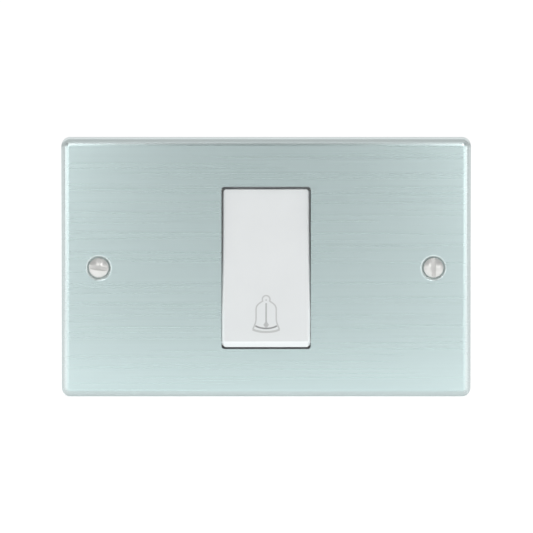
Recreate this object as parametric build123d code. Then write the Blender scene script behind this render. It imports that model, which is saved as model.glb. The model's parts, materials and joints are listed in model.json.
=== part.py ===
"""Doorbell push: a brushed steel wall plate with a sprung press rocker in a small switch module.

X runs to the right, Z up and Y into the wall. The wall surface is the plane y = 0, and the origin
is the middle of the plate there. The rocker's pivot is the X axis itself.
"""
import os
from math import asin, atan2, cos, degrees, radians, sin, sqrt, tan

from build123d import *

# Cover plate, pressed from sheet with its rim turned back to the wall
PLATE_WIDTH = 118.0
PLATE_HEIGHT = 74.7
PLATE_DEPTH = 7.0
SHEET = 1.0
FOLD_RADIUS = 2.2
PLATE_CORNER_RADIUS = 2.5
APERTURE_WIDTH = 25.7
APERTURE_HEIGHT = 46.9
APERTURE_CORNER_RADIUS = 0.9

# Fixing screws, slotted, with raised countersunk heads in pressed dimples
SCREW_SPACING = 96.4
SCREW_DIAMETER = 3.5
SCREW_NECK_DIAMETER = 3.1
SCREW_THREAD_SETBACK = 0.75
SCREW_LENGTH = 25.0
SCREW_HEAD_DIAMETER = 5.8
SCREW_HEAD_LAND = 0.4
SCREW_DOME = 1.1
SCREW_SINK = 0.3
SCREW_POINT = 0.6
SCREW_SLOT_WIDTH = 1.2
SCREW_SLOT_DEPTH = 1.0
SCREW_SLOT_ANGLES = {-1: -8.0, 1: 92.0}
SCREW_HOLE_CLEARANCE = 0.25
DIMPLE_LAND = 0.6
DIMPLE_LIP_RADIUS = 0.5
RETAINER_DIAMETER = 8.0
RETAINER_THICKNESS = 0.8

# Yoke, a pressed steel strap with raised ears under the screw dimples
YOKE_SHEET = 1.2
YOKE_HEIGHT = 60.0
YOKE_BEND_RADIUS = 0.8
YOKE_CORNER_RADIUS = 3.0
EAR_HEIGHT = 16.0
EAR_INSIDE = 8.0
EAR_OUTSIDE = 4.7
EAR_SLOT_LENGTH = 6.6
EAR_SLOT_HEIGHT = 4.2
EAR_SHOULDER = 2.0
RAIL_FLANGE = 3.4
RAIL_FLANGE_LENGTH = 62.0
RAIL_GAP = 1.5
OUTER_FOLD_RADIUS = 1.0

# Earth terminal, on a tab lanced out of the yoke
EARTH_TAB_X = 23.0
EARTH_TAB_HEIGHT = 9.0
EARTH_TAB_LENGTH = 10.0
EARTH_TAB_RADIUS = 2.0
EARTH_RELIEF = 0.4
EARTH_SCREW_DEPTH = 5.6
EARTH_SCREW_DIAMETER = 3.5
EARTH_SCREW_LENGTH = 5.5
EARTH_HEAD_DIAMETER = 6.6
EARTH_HEAD_HEIGHT = 2.2
EARTH_WASHER_SIDE = 7.4
EARTH_WASHER_THICKNESS = 0.9
EARTH_WASHER_LIP = 0.8

# Press rocker, drawn level and then tilted to its rest with the bottom end out
REST_TILT = 4.5
ROCKER_SIDE_GAP = 0.15
ROCKER_TOP_GAP = 1.3
ROCKER_BOTTOM_GAP = 1.7
ROCKER_TOE_GAP = 0.1
CREST_PROUD = 0.5
FACE_DISH = 0.85
TOE_DROP = 2.1
SKIRT_DROP = 3.6
SKIRT_TUCK = 0.6
ROCKER_BEVEL_WIDTH = 0.55
ROCKER_BEVEL_DEPTH = 1.0
ROCKER_WALL = 1.5
ROCKER_CORNER_RADIUS = 0.7
ROCKER_EDGE_RADIUS = 0.3
CHEEK_HALF_TOP = 9.5
CHEEK_HALF_END = 5.0
CHEEK_REACH = 2.6
TRUNNION_DIAMETER = 3.0
TRUNNION_LENGTH = 1.5
TRUNNION_CHAMFER = 0.3
RIB_THICKNESS = 1.1
CROSS_RIB_REACH = 1.0
SPINE_DROP = 2.2

# Sprung plunger in the rocker's tower
TOWER_DIAMETER = 6.0
TOWER_REACH = 4.2
PLUNGER_DIAMETER = 3.2
PLUNGER_CLEARANCE = 0.1
PLUNGER_TOP = 0.8
PLUNGER_SHOULDER = 5.0
PLUNGER_REACH = 7.5
NOSE_RADIUS = 1.2
BORE_END_ABOVE_PIVOT = 3.0
PLUNGER_SPRING_WIRE = 0.35
PLUNGER_SPRING_PLAY = 0.12
PLUNGER_SPRING_TURNS = 5

# Return spring under the rocker's lower half
RETURN_WALL_GAP = 1.4
RETURN_SPRING_DIAMETER = 5.2
RETURN_SPRING_WIRE = 0.6
RETURN_SPRING_TURNS = 5
RETURN_SPRING_PLAY = 0.05
RETURN_POST_TOP = 5.0
RETURN_POST_MARGIN = 0.6
RETURN_PAD_DROP = 0.4
RETURN_SPIGOT_DIAMETER = 2.6
RETURN_SPIGOT_HEIGHT = 1.6

# See-saw contact on its fulcrum
BLADE_TILT = 6.0
BLADE_WIDTH = 5.0
BLADE_THICKNESS = 0.9
BLADE_TAIL = 7.0
BLADE_HEAD = 7.6
BLADE_END_RADIUS = 1.2
NOSE_CLEARANCE = 0.05
FULCRUM_THICKNESS = 0.7
FULCRUM_CLEARANCE = 0.05
CONTACT_ARM = 6.0
TIP_DIAMETER = 3.0
TIP_HEIGHT = 0.9
TIP_CROWN = 0.35
TIP_STEM_DIAMETER = 1.4
TIP_CLEARANCE = 0.06

# Terminals, each a drilled brass block on a strip that lies on the housing's floor
STRIP_THICKNESS = 1.0
STRIP_END_GAP = 1.3
TERMINAL_SIDE = 8.0
TERMINAL_DEPTH = 7.4
TERMINAL_EDGE = 0.4
TUNNEL_DIAMETER = 3.2
TUNNEL_DEPTH = 3.0
CLAMP_SCREW_DIAMETER = 3.0
CLAMP_SCREW_LENGTH = 4.5
CLAMP_SCREW_STANDOFF = 0.1
CLAMP_HEAD_DIAMETER = 5.2
CLAMP_HEAD_HEIGHT = 1.8
CLAMP_SLOT_WIDTH = 0.9
CLAMP_SLOT_DEPTH = 0.9

# Module housing and the frame that keeps the rocker in it
RUN_GAP = 0.4
BODY_WALL = 2.2
BODY_HEIGHT = 44.0
BODY_CORNER_RADIUS = 1.0
BODY_REAR_RADIUS = 0.8
END_WALL = 1.5
FLOOR_THICKNESS = 1.8
FLANGE_LIP = 1.9
FLANGE_END = 2.2
FLANGE_THICKNESS = 2.0
FLANGE_CORNER_RADIUS = 1.5
FRAME_CLEARANCE = 0.1
BEARING_CLEARANCE = 0.05
KEEPER_CLEARANCE = 0.1
PEG_DIAMETER = 2.0
PEG_LENGTH = 1.8
GUIDE_RIB = 1.2
GUIDE_HALF_LENGTH = 8.5
GUIDE_FRONT = 7.6
GUIDE_CLEARANCE = 0.4
POCKET_CLEARANCE = 0.1
TURRET_WALL = 1.4
TURRET_COVER = 0.2
TURRET_CORNER_RADIUS = 0.9
WIRE_SLOT_WIDTH = 4.4
WIRE_SLOT_FLOOR = 0.2
WINDOW_CLEARANCE = 0.2
SNAP_WIDTH = 9.0
SNAP_LENGTH = 4.0
SNAP_HEIGHT = 0.9
SNAP_CLEARANCE = 0.05
TONGUE_SLIT = 0.7
TONGUE_LENGTH = 9.0
TONGUE_MARGIN = 0.5

# Shared by all: how a cheese head is rounded, and how near an edge counts as the one meant
HEAD_ROUNDING = 0.25
PICK_TOLERANCE = 0.1

# Worked out from the sizes above: plate, screws and yoke
FACE_Y = -PLATE_DEPTH
BACK_OF_SHEET_Y = FACE_Y + SHEET
SCREW_X = SCREW_SPACING / 2
SCREW_RADIUS = SCREW_DIAMETER / 2
NECK_RADIUS = SCREW_NECK_DIAMETER / 2
SCREW_HOLE_RADIUS = SCREW_RADIUS + SCREW_HOLE_CLEARANCE
HEAD_RADIUS = SCREW_HEAD_DIAMETER / 2
HEAD_RIM_Y = FACE_Y + SCREW_SINK
HEAD_SEAT_Y = HEAD_RIM_Y + SCREW_HEAD_LAND
DIMPLE_RADIUS = HEAD_RADIUS + HEAD_SEAT_Y - FACE_Y
DIMPLE_BACK_Y = FACE_Y + DIMPLE_RADIUS - SCREW_HOLE_RADIUS + DIMPLE_LAND
EAR_Y = DIMPLE_BACK_Y + RETAINER_THICKNESS
EAR_RISE = -YOKE_SHEET - EAR_Y
THREAD_Y = EAR_Y + YOKE_SHEET + SCREW_THREAD_SETBACK
EAR_START = SCREW_X - EAR_INSIDE
EAR_END = SCREW_X + EAR_OUTSIDE
EARTH_FACE_X = EARTH_TAB_X + YOKE_SHEET
EARTH_HEAD_X = EARTH_FACE_X + EARTH_WASHER_THICKNESS

# Worked out from the sizes above: rocker, plunger and contact
CREST = PLATE_DEPTH + CREST_PROUD
ROCKER_TOP = APERTURE_HEIGHT / 2 - ROCKER_TOP_GAP
ROCKER_BOTTOM = APERTURE_HEIGHT / 2 - ROCKER_BOTTOM_GAP
ROCKER_TOE = APERTURE_HEIGHT / 2 - ROCKER_TOE_GAP
TOE = CREST - TOE_DROP
SKIRT = CREST - SKIRT_DROP
FACE_MIDDLE = CREST - FACE_DISH
FACE_CENTRE = (ROCKER_TOP - ROCKER_BOTTOM) / 2
FACE_CHORD_HALF = (ROCKER_TOP + ROCKER_BOTTOM) / 2
FACE_RADIUS = (FACE_CHORD_HALF**2 + FACE_DISH**2) / (2 * FACE_DISH)
SKIRT_HALF = APERTURE_WIDTH / 2 - ROCKER_SIDE_GAP
FACE_HALF = SKIRT_HALF - ROCKER_BEVEL_WIDTH
TRUNNION_RADIUS = TRUNNION_DIAMETER / 2
TOWER_RADIUS = TOWER_DIAMETER / 2
PLUNGER_RADIUS = PLUNGER_DIAMETER / 2
TOWER_BORE_RADIUS = PLUNGER_RADIUS + PLUNGER_CLEARANCE
FULCRUM_Y = PLUNGER_REACH + NOSE_RADIUS + NOSE_CLEARANCE + BLADE_THICKNESS
FULCRUM_RADIUS = FULCRUM_THICKNESS / 2
TIP_RADIUS = TIP_DIAMETER / 2
CLOSED_TIP_Y = FULCRUM_Y + TIP_HEIGHT * cos(radians(BLADE_TILT)) + CONTACT_ARM * sin(radians(BLADE_TILT))
CLOSED_TIP_Z = CONTACT_ARM * cos(radians(BLADE_TILT)) - TIP_HEIGHT * sin(radians(BLADE_TILT))
STRIP_Y = CLOSED_TIP_Y + TIP_CLEARANCE + TIP_HEIGHT

# Worked out from the sizes above: housing and terminals
FLOOR_Y = STRIP_Y + STRIP_THICKNESS
BLOCK_Y = FLOOR_Y + FLOOR_THICKNESS
BLOCK_REAR_Y = BLOCK_Y + TERMINAL_DEPTH
TUNNEL_Y = BLOCK_Y + TUNNEL_DEPTH
TUNNEL_RADIUS = TUNNEL_DIAMETER / 2
CLAMP_TIP_Y = TUNNEL_Y + TUNNEL_RADIUS + CLAMP_SCREW_STANDOFF
CLAMP_HEAD_Y = CLAMP_TIP_Y + CLAMP_SCREW_LENGTH
TURRET_REAR_Y = CLAMP_HEAD_Y + CLAMP_HEAD_HEIGHT + TURRET_COVER
RETURN_ARM = BODY_HEIGHT / 2 - END_WALL - RETURN_SPRING_DIAMETER / 2 - RETURN_WALL_GAP
RETURN_POST_RADIUS = RETURN_SPRING_DIAMETER / 2 + RETURN_POST_MARGIN
TAIL_Z = RETURN_ARM - RETURN_POST_RADIUS - STRIP_END_GAP - STRIP_THICKNESS
TERMINAL_ARM = TAIL_Z + TERMINAL_SIDE / 2
CAVITY_HALF = SKIRT_HALF + RUN_GAP
SWING_HALF = ROCKER_TOE * cos(radians(REST_TILT)) + TOE * sin(radians(REST_TILT)) + RUN_GAP
BODY_HALF = CAVITY_HALF + BODY_WALL
FLANGE_HALF = BODY_HALF + FLANGE_LIP
FLANGE_HALF_HEIGHT = max(SWING_HALF, BODY_HEIGHT / 2) + FLANGE_END
FLANGE_FRONT_Y = -YOKE_SHEET - FLANGE_THICKNESS
FRAME_FRONT_Y = BACK_OF_SHEET_Y + FRAME_CLEARANCE
BEARING_RADIUS = TRUNNION_RADIUS + BEARING_CLEARANCE
BEARING_HALF = SKIRT_HALF + TRUNNION_LENGTH + KEEPER_CLEARANCE
PEG_X = (CAVITY_HALF + FLANGE_HALF) / 2
PEG_ARM = (BODY_HEIGHT / 2 + FLANGE_HALF_HEIGHT) / 2


def face_level(z):
    """Height of the level rocker's dished face above its pivot, at a height z."""
    return FACE_MIDDLE + FACE_DISH * (z / ROCKER_TOP) ** 2


def solid_between(sketch, front, back):
    """Solid from a sketch in the front view, between two depths."""
    return extrude(Plane.XZ.offset(-back) * sketch, amount=back - front)


def rod(radius, front, back, x=0.0, z=0.0):
    """Round bar along Y."""
    return solid_between(Pos(x, z) * Circle(radius), front, back)


def block(x0, x1, y0, y1, z0, z1):
    """Box between two corners."""
    return Pos((x0 + x1) / 2, (y0 + y1) / 2, (z0 + z1) / 2) * Box(x1 - x0, y1 - y0, z1 - z0)


def turned(lines, x=0.0, z=0.0):
    """Solid turned about an axis along Y, from lines drawn as radius and depth."""
    return Pos(x, 0, z) * revolve(make_face(lines), Axis.Y)


def coil(mean_radius, wire, length, turns):
    """Coil spring along +Y from the origin."""
    height = length - wire
    path = Helix(height / turns, height, mean_radius, center=(0, wire / 2, 0), direction=(0, 1, 0))
    return sweep(Plane(path @ 0, z_dir=path % 0) * Circle(wire / 2), path, is_frenet=True)


def mitre(sheet):
    """How far a sheet's far side is shifted at a bend of 45 degrees."""
    return sheet * (sqrt(2) - 1)


def at_rest(level_part):
    """Turn a part drawn on the level rocker to the rocker's rest."""
    return Rot(-REST_TILT, 0, 0) * level_part


# Cover plate and its screws
def plate_pan(inset):
    """Outside of the pressed pan, or its inside where inset is the sheet's thickness."""
    outline = RectangleRounded(
        PLATE_WIDTH - 2 * inset, PLATE_HEIGHT - 2 * inset, PLATE_CORNER_RADIUS - inset
    )
    pan = solid_between(outline, FACE_Y + inset, 0)
    return fillet(pan.faces().sort_by(Axis.Y)[0].edges(), FOLD_RADIUS - inset)


def dimple_back(x):
    """Back of a pressed screw dimple, standing behind the sheet."""
    shoulder = DIMPLE_RADIUS + mitre(SHEET)
    land = shoulder - (DIMPLE_BACK_Y - BACK_OF_SHEET_Y)
    root_y = FACE_Y + SHEET / 2
    profile = Polyline(
        (0, root_y),
        (shoulder, root_y),
        (shoulder, BACK_OF_SHEET_Y),
        (land, DIMPLE_BACK_Y),
        (0, DIMPLE_BACK_Y),
        close=True,
    )
    return turned(profile, x)


def dimple_mouth(x):
    """Countersink and screw hole of a dimple, as the material to take away."""
    cone_end_y = FACE_Y + DIMPLE_RADIUS - SCREW_HOLE_RADIUS
    profile = Polyline(
        (0, FACE_Y),
        (DIMPLE_RADIUS, FACE_Y),
        (SCREW_HOLE_RADIUS, cone_end_y),
        (SCREW_HOLE_RADIUS, DIMPLE_BACK_Y),
        (0, DIMPLE_BACK_Y),
        close=True,
    )
    return turned(profile, x)


def cover_plate():
    """Pressed pan with the rocker's aperture and two screw dimples."""
    plate = plate_pan(0) - plate_pan(SHEET)
    aperture = RectangleRounded(APERTURE_WIDTH, APERTURE_HEIGHT, APERTURE_CORNER_RADIUS)
    plate -= solid_between(aperture, FACE_Y, BACK_OF_SHEET_Y)
    for side in (-1, 1):
        plate = plate + dimple_back(side * SCREW_X) - dimple_mouth(side * SCREW_X)
    mouths = plate.edges().filter_by(GeomType.CIRCLE).filter_by(
        lambda edge: abs(edge.radius - DIMPLE_RADIUS) < PICK_TOLERANCE
    )
    return fillet(mouths, DIMPLE_LIP_RADIUS)


def fixing_screw(side):
    """Slotted screw with a domed, countersunk head and a waisted neck above the thread."""
    dome_y = HEAD_RIM_Y - SCREW_DOME
    dome_radius = (HEAD_RADIUS**2 + SCREW_DOME**2) / (2 * SCREW_DOME)
    mid_radius = HEAD_RADIUS / 2
    mid_y = dome_y + dome_radius - sqrt(dome_radius**2 - mid_radius**2)
    neck_y = HEAD_SEAT_Y + HEAD_RADIUS - NECK_RADIUS
    tip_y = HEAD_RIM_Y + SCREW_LENGTH
    dome = ThreePointArc((0, dome_y), (mid_radius, mid_y), (HEAD_RADIUS, HEAD_RIM_Y))
    shank = Polyline(
        (HEAD_RADIUS, HEAD_RIM_Y),
        (HEAD_RADIUS, HEAD_SEAT_Y),
        (NECK_RADIUS, neck_y),
        (NECK_RADIUS, THREAD_Y),
        (SCREW_RADIUS, THREAD_Y),
        (SCREW_RADIUS, tip_y - SCREW_POINT),
        (SCREW_RADIUS - SCREW_POINT, tip_y),
        (0, tip_y),
        (0, dome_y),
    )
    screw = turned([dome, shank], side * SCREW_X)
    slot = Rot(0, 0, SCREW_SLOT_ANGLES[side]) * Rectangle(2 * SCREW_HEAD_DIAMETER, SCREW_SLOT_WIDTH)
    return screw - solid_between(Pos(side * SCREW_X, 0) * slot, dome_y, dome_y + SCREW_SLOT_DEPTH)


def screw_retainer(side):
    """Fibre washer between a dimple and the yoke's ear, gripping the screw's neck."""
    ring = Circle(RETAINER_DIAMETER / 2) - Circle(NECK_RADIUS)
    return solid_between(Pos(side * SCREW_X, 0) * ring, DIMPLE_BACK_Y, EAR_Y)


# Yoke and earth terminal
def yoke_section():
    """Section of the strap from ear to ear, with rounded bends."""
    lap = mitre(YOKE_SHEET)
    front = [
        (EAR_START - EAR_RISE, -YOKE_SHEET),
        (EAR_START, EAR_Y),
        (EAR_END, EAR_Y),
    ]
    back = [
        (EAR_END, EAR_Y + YOKE_SHEET),
        (EAR_START + lap, EAR_Y + YOKE_SHEET),
        (EAR_START - EAR_RISE + lap, 0),
    ]
    right = front + back
    left = [(-x, y) for x, y in reversed(right)]
    section = make_face(Polyline(*right, *left, close=True))

    def bends(points):
        places = [Vector(side * x, y) for x, y in points for side in (-1, 1)]
        return section.vertices().filter_by(
            lambda v: min((Vector(v) - place).length for place in places) < PICK_TOLERANCE
        )

    section = fillet(bends([front[0], back[1]]), YOKE_BEND_RADIUS)
    return fillet(bends([front[1], back[2]]), YOKE_BEND_RADIUS + YOKE_SHEET)


def yoke_outline():
    """Front view of the strap: a wide middle with two narrow ears."""
    middle = Rectangle(2 * (EAR_START - EAR_RISE - EAR_SHOULDER), YOKE_HEIGHT)
    ears = RectangleRounded(2 * EAR_END, EAR_HEIGHT, YOKE_CORNER_RADIUS)
    outline = middle + ears
    inner_corners = outline.vertices().filter_by(lambda v: abs(v.X) < EAR_START)
    return fillet(inner_corners, YOKE_CORNER_RADIUS)


def yoke_rails():
    """Stiffening flanges folded forward along the yoke's edges, beside the module."""
    edge = YOKE_HEIGHT / 2
    start = FLANGE_HALF + RAIL_GAP
    rail = block(start, RAIL_FLANGE_LENGTH / 2, -YOKE_SHEET - RAIL_FLANGE, 0, edge - YOKE_SHEET, edge)
    fold = rail.edges().filter_by(Axis.X).group_by(Axis.Y)[-1].sort_by(Axis.Z)[-1]
    rail = fillet(fold, OUTER_FOLD_RADIUS)
    pair = rail + mirror(rail, Plane.YZ)
    return pair + mirror(pair, Plane.XY)


def earth_tab():
    """Tab bent back from the yoke, with the earth screw's tapped hole."""
    half = EARTH_TAB_HEIGHT / 2
    tab = block(EARTH_TAB_X, EARTH_FACE_X, -YOKE_SHEET, EARTH_TAB_LENGTH, -half, half)
    tab = fillet(tab.edges().filter_by(Axis.X).group_by(Axis.Y)[-1], EARTH_TAB_RADIUS)
    fold = tab.edges().filter_by(Axis.Z).group_by(Axis.Y)[0].sort_by(Axis.X)[-1]
    tab = fillet(fold, OUTER_FOLD_RADIUS)
    hole = Plane.YZ.offset(EARTH_TAB_X) * Pos(EARTH_SCREW_DEPTH, 0) * Circle(EARTH_SCREW_DIAMETER / 2)
    return tab - extrude(hole, amount=YOKE_SHEET)


def yoke():
    """Strap with the module's window, slotted ears, folded rails and the earth tab."""
    section = extrude(yoke_section(), amount=YOKE_HEIGHT / 2, both=True)
    strap = section & solid_between(yoke_outline(), EAR_Y, 0)
    window = RectangleRounded(
        2 * (BODY_HALF + WINDOW_CLEARANCE), BODY_HEIGHT + 2 * WINDOW_CLEARANCE, BODY_CORNER_RADIUS
    )
    strap -= solid_between(window, -YOKE_SHEET, 0)
    for side in (-1, 1):
        slot = Pos(side * SCREW_X, 0) * SlotOverall(EAR_SLOT_LENGTH, EAR_SLOT_HEIGHT)
        strap -= solid_between(slot, EAR_Y, EAR_Y + YOKE_SHEET)
    strap += yoke_rails()
    half = EARTH_TAB_HEIGHT / 2 + EARTH_RELIEF
    strap -= block(EARTH_TAB_X, EARTH_FACE_X + EARTH_TAB_LENGTH, -YOKE_SHEET, 0, -half, half)
    return strap + earth_tab()


def earth_screw():
    """Cheese-head screw through the clamp washer into the tab."""
    axis_plane = Plane.YZ.offset(EARTH_HEAD_X)
    centre = Pos(EARTH_SCREW_DEPTH, 0)
    head = extrude(axis_plane * centre * Circle(EARTH_HEAD_DIAMETER / 2), amount=EARTH_HEAD_HEIGHT)
    head = fillet(head.edges().group_by(Axis.X)[-1], EARTH_HEAD_HEIGHT * HEAD_ROUNDING)
    shank = extrude(axis_plane * centre * Circle(EARTH_SCREW_DIAMETER / 2), amount=-EARTH_SCREW_LENGTH)
    slot_top = EARTH_HEAD_X + EARTH_HEAD_HEIGHT
    half = EARTH_HEAD_DIAMETER / 2
    slot = block(
        slot_top - SCREW_SLOT_DEPTH,
        slot_top,
        EARTH_SCREW_DEPTH - SCREW_SLOT_WIDTH / 2,
        EARTH_SCREW_DEPTH + SCREW_SLOT_WIDTH / 2,
        -half,
        half,
    )
    return head + shank - slot


def earth_washer():
    """Square clamp washer with two lips that keep the wire under it."""
    half = EARTH_WASHER_SIDE / 2
    y0 = EARTH_SCREW_DEPTH - half
    y1 = EARTH_SCREW_DEPTH + half
    washer = block(EARTH_FACE_X, EARTH_HEAD_X, y0, y1, -half, half)
    lip_x = EARTH_HEAD_X + EARTH_WASHER_LIP
    washer += block(EARTH_FACE_X, lip_x, y0, y1, half, half + EARTH_WASHER_THICKNESS)
    washer += block(EARTH_FACE_X, lip_x, y0, y1, -half - EARTH_WASHER_THICKNESS, -half)
    hole = Plane.YZ.offset(EARTH_FACE_X) * Pos(EARTH_SCREW_DEPTH, 0) * Circle(EARTH_SCREW_DIAMETER / 2)
    return washer - extrude(hole, amount=EARTH_WASHER_THICKNESS)


# Press rocker
def rocker_side(inset, skirt_lines):
    """Side view of the level rocker: dished face, chamfered toe and the given back edge."""
    crest = CREST - inset
    top = (-crest, ROCKER_TOP - inset)
    middle = (-(FACE_MIDDLE - inset), FACE_CENTRE)
    bottom = (-crest, inset - ROCKER_BOTTOM)
    face = ThreePointArc(top, middle, bottom)
    toe = (-TOE, inset - ROCKER_TOE)
    return make_face([face, Polyline(bottom, toe, *skirt_lines, top)])


def rocker_form(inset, skirt_lines):
    """Solid of the rocker's outside or inside, with straight sides."""
    half = SKIRT_HALF - inset
    return extrude(Plane.YZ * rocker_side(inset, skirt_lines), amount=half, both=True)


def bevelled_section(front, back):
    """Plan of the rocker from a front level to a depth, with its side edges bevelled."""
    shoulder = front + ROCKER_BEVEL_DEPTH
    right = [(FACE_HALF, front), (SKIRT_HALF, shoulder), (SKIRT_HALF, back)]
    left = [(-x, y) for x, y in reversed(right)]
    return make_face(Polyline(*right, *left, close=True))


def face_bevel():
    """Solid whose side bevels follow the dished face, turned about the dish's axis."""
    swing = 2 * degrees(asin(APERTURE_HEIGHT / FACE_RADIUS))
    axis = Axis((0, -FACE_MIDDLE - FACE_RADIUS, 0), (1, 0, 0))
    solid = revolve(bevelled_section(-FACE_MIDDLE, PLATE_DEPTH), axis, revolution_arc=swing)
    return Pos(0, 0, FACE_CENTRE) * solid.rotate(axis, -swing / 2)


def toe_bevel():
    """Solid whose side bevels follow the sloping toe."""
    slope = degrees(atan2(CREST - TOE, ROCKER_TOE - ROCKER_BOTTOM))
    long = 2 * APERTURE_HEIGHT
    solid = extrude(bevelled_section(0, long), amount=long, both=True)
    return Pos(0, -CREST, -ROCKER_BOTTOM) * Rot(slope, 0, 0) * solid


def rocker_shell():
    """Hollow moulded cap with side cheeks that reach back to the pivot."""
    skirt_bottom = SKIRT_TUCK - ROCKER_TOE
    outside_lines = [
        (-SKIRT, skirt_bottom),
        (-SKIRT, -CHEEK_HALF_TOP),
        (CHEEK_REACH, -CHEEK_HALF_END),
        (CHEEK_REACH, CHEEK_HALF_END),
        (-SKIRT, CHEEK_HALF_TOP),
        (-SKIRT, ROCKER_TOP),
    ]
    outside = rocker_form(0, outside_lines) & face_bevel() & toe_bevel()
    corners = outside.edges().filter_by(Axis.X, reverse=True).filter_by(
        lambda e: abs(e.center().X) > FACE_HALF + PICK_TOLERANCE
        and not skirt_bottom < e.center().Z < ROCKER_TOP - PICK_TOLERANCE
    )
    outside = fillet(corners, ROCKER_CORNER_RADIUS)
    face = max(outside.faces(), key=lambda f: f.area if f.center().Y < -SKIRT else 0)
    outside = fillet(face.edges(), ROCKER_EDGE_RADIUS)
    back_y = CHEEK_REACH + ROCKER_WALL
    inside_lines = [
        (-SKIRT, skirt_bottom + ROCKER_WALL),
        (back_y, skirt_bottom + ROCKER_WALL),
        (back_y, ROCKER_TOP - ROCKER_WALL),
    ]
    return outside - rocker_form(ROCKER_WALL, inside_lines)


def trunnion(side):
    """Pivot stub on a cheek, with a lead-in chamfer."""
    start = SKIRT_HALF - ROCKER_WALL / 2
    length = ROCKER_WALL / 2 + TRUNNION_LENGTH
    stub = extrude(Plane.YZ.offset(start) * Circle(TRUNNION_RADIUS), amount=length)
    stub = chamfer(stub.edges().group_by(Axis.X)[-1], TRUNNION_CHAMFER)
    return stub if side > 0 else mirror(stub, Plane.YZ)


def rocker():
    """Rocker at rest: shell, trunnions, plunger tower, ribs and return-spring pad."""
    shell = rocker_shell()
    under = -(FACE_MIDDLE - ROCKER_WALL / 2)
    inner_half = SKIRT_HALF - ROCKER_WALL / 2
    half_rib = RIB_THICKNESS / 2
    spine_end = RETURN_ARM - RETURN_POST_RADIUS
    spine_level = FACE_MIDDLE - ROCKER_WALL - SPINE_DROP
    shell += rod(TOWER_RADIUS, under, TOWER_REACH)
    shell += block(-inner_half, inner_half, under, CROSS_RIB_REACH, -half_rib, half_rib)
    shell += block(-half_rib, half_rib, under, -spine_level, -spine_end, spine_end)
    shell -= rod(TOWER_BORE_RADIUS, -BORE_END_ABOVE_PIVOT, TOWER_REACH)
    pad_level = return_pad_level()
    pad_root = -(face_level(RETURN_ARM) - ROCKER_WALL / 2)
    shell += rod(RETURN_POST_RADIUS, pad_root, -pad_level, z=-RETURN_ARM)
    shell += rod(RETURN_SPIGOT_DIAMETER / 2, -pad_level, RETURN_SPIGOT_HEIGHT - pad_level, z=-RETURN_ARM)
    for side in (-1, 1):
        shell += trunnion(side)
    return at_rest(shell)


def return_pad_level():
    """Height of the level rocker's spring pad above the pivot."""
    return face_level(RETURN_ARM) - ROCKER_WALL - RETURN_PAD_DROP


def plunger():
    """Plunger with a round nose, in the tower's bore."""
    shank = rod(PLUNGER_RADIUS, PLUNGER_TOP, PLUNGER_SHOULDER)
    shank = chamfer(shank.edges().group_by(Axis.Y)[-1], PLUNGER_RADIUS - NOSE_RADIUS)
    nose = rod(NOSE_RADIUS, PLUNGER_SHOULDER, PLUNGER_REACH)
    return at_rest(shank + nose + Pos(0, PLUNGER_REACH, 0) * Sphere(NOSE_RADIUS))


def plunger_spring():
    """Coil between the bore's end and the plunger."""
    mean_radius = PLUNGER_RADIUS - PLUNGER_SPRING_PLAY - PLUNGER_SPRING_WIRE / 2
    length = PLUNGER_TOP + BORE_END_ABOVE_PIVOT
    spring = coil(mean_radius, PLUNGER_SPRING_WIRE, length, PLUNGER_SPRING_TURNS)
    return at_rest(Pos(0, -BORE_END_ABOVE_PIVOT, 0) * spring)


def return_spring():
    """Coil from the housing's post to the lowest edge of the tilted pad."""
    tilt = radians(REST_TILT)
    pad_level = return_pad_level()
    pad_y = -(pad_level * cos(tilt) + RETURN_ARM * sin(tilt))
    slack = (RETURN_SPRING_DIAMETER / 2 + pad_level * sin(tilt)) * tan(tilt) + RETURN_SPRING_PLAY
    length = RETURN_POST_TOP - pad_y - slack
    mean_radius = (RETURN_SPRING_DIAMETER - RETURN_SPRING_WIRE) / 2
    spring = coil(mean_radius, RETURN_SPRING_WIRE, length, RETURN_SPRING_TURNS)
    return Pos(0, pad_y + slack, -RETURN_ARM) * spring


# See-saw contact and terminals
def contact_tip(height, stem):
    """Rivet contact along +Y: a crowned head behind the strip and a stem through it."""
    crown_y = height - TIP_CROWN
    crown_radius = (TIP_RADIUS**2 + TIP_CROWN**2) / (2 * TIP_CROWN)
    mid_radius = TIP_RADIUS / 2
    mid_y = height - crown_radius + sqrt(crown_radius**2 - mid_radius**2)
    stem_radius = TIP_STEM_DIAMETER / 2
    crown = ThreePointArc((0, height), (mid_radius, mid_y), (TIP_RADIUS, crown_y))
    rest = Polyline(
        (TIP_RADIUS, crown_y),
        (TIP_RADIUS, 0),
        (stem_radius, 0),
        (stem_radius, -stem),
        (0, -stem),
        (0, height),
    )
    return turned([crown, rest])


def on_blade(level_part):
    """Turn a part drawn on the level blade to the blade's rest on the fulcrum."""
    return Pos(0, FULCRUM_Y, 0) * Rot(BLADE_TILT, 0, 0) * level_part


def contact_blade():
    """Strip with a groove that sits on the fulcrum and a hole for the contact's stem."""
    half = BLADE_WIDTH / 2
    blade = block(-half, half, -BLADE_THICKNESS, 0, -BLADE_TAIL, BLADE_HEAD)
    blade = fillet(blade.edges().filter_by(Axis.Y), BLADE_END_RADIUS)
    groove = Plane.YZ.offset(-half) * Circle(FULCRUM_RADIUS + FULCRUM_CLEARANCE)
    blade -= extrude(groove, amount=BLADE_WIDTH)
    blade -= rod(TIP_STEM_DIAMETER / 2, -BLADE_THICKNESS, 0, z=CONTACT_ARM)
    return on_blade(blade)


def moving_contact_tip():
    """Contact on the blade's upper end."""
    return on_blade(Pos(0, 0, CONTACT_ARM) * contact_tip(TIP_HEIGHT, BLADE_THICKNESS))


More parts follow.
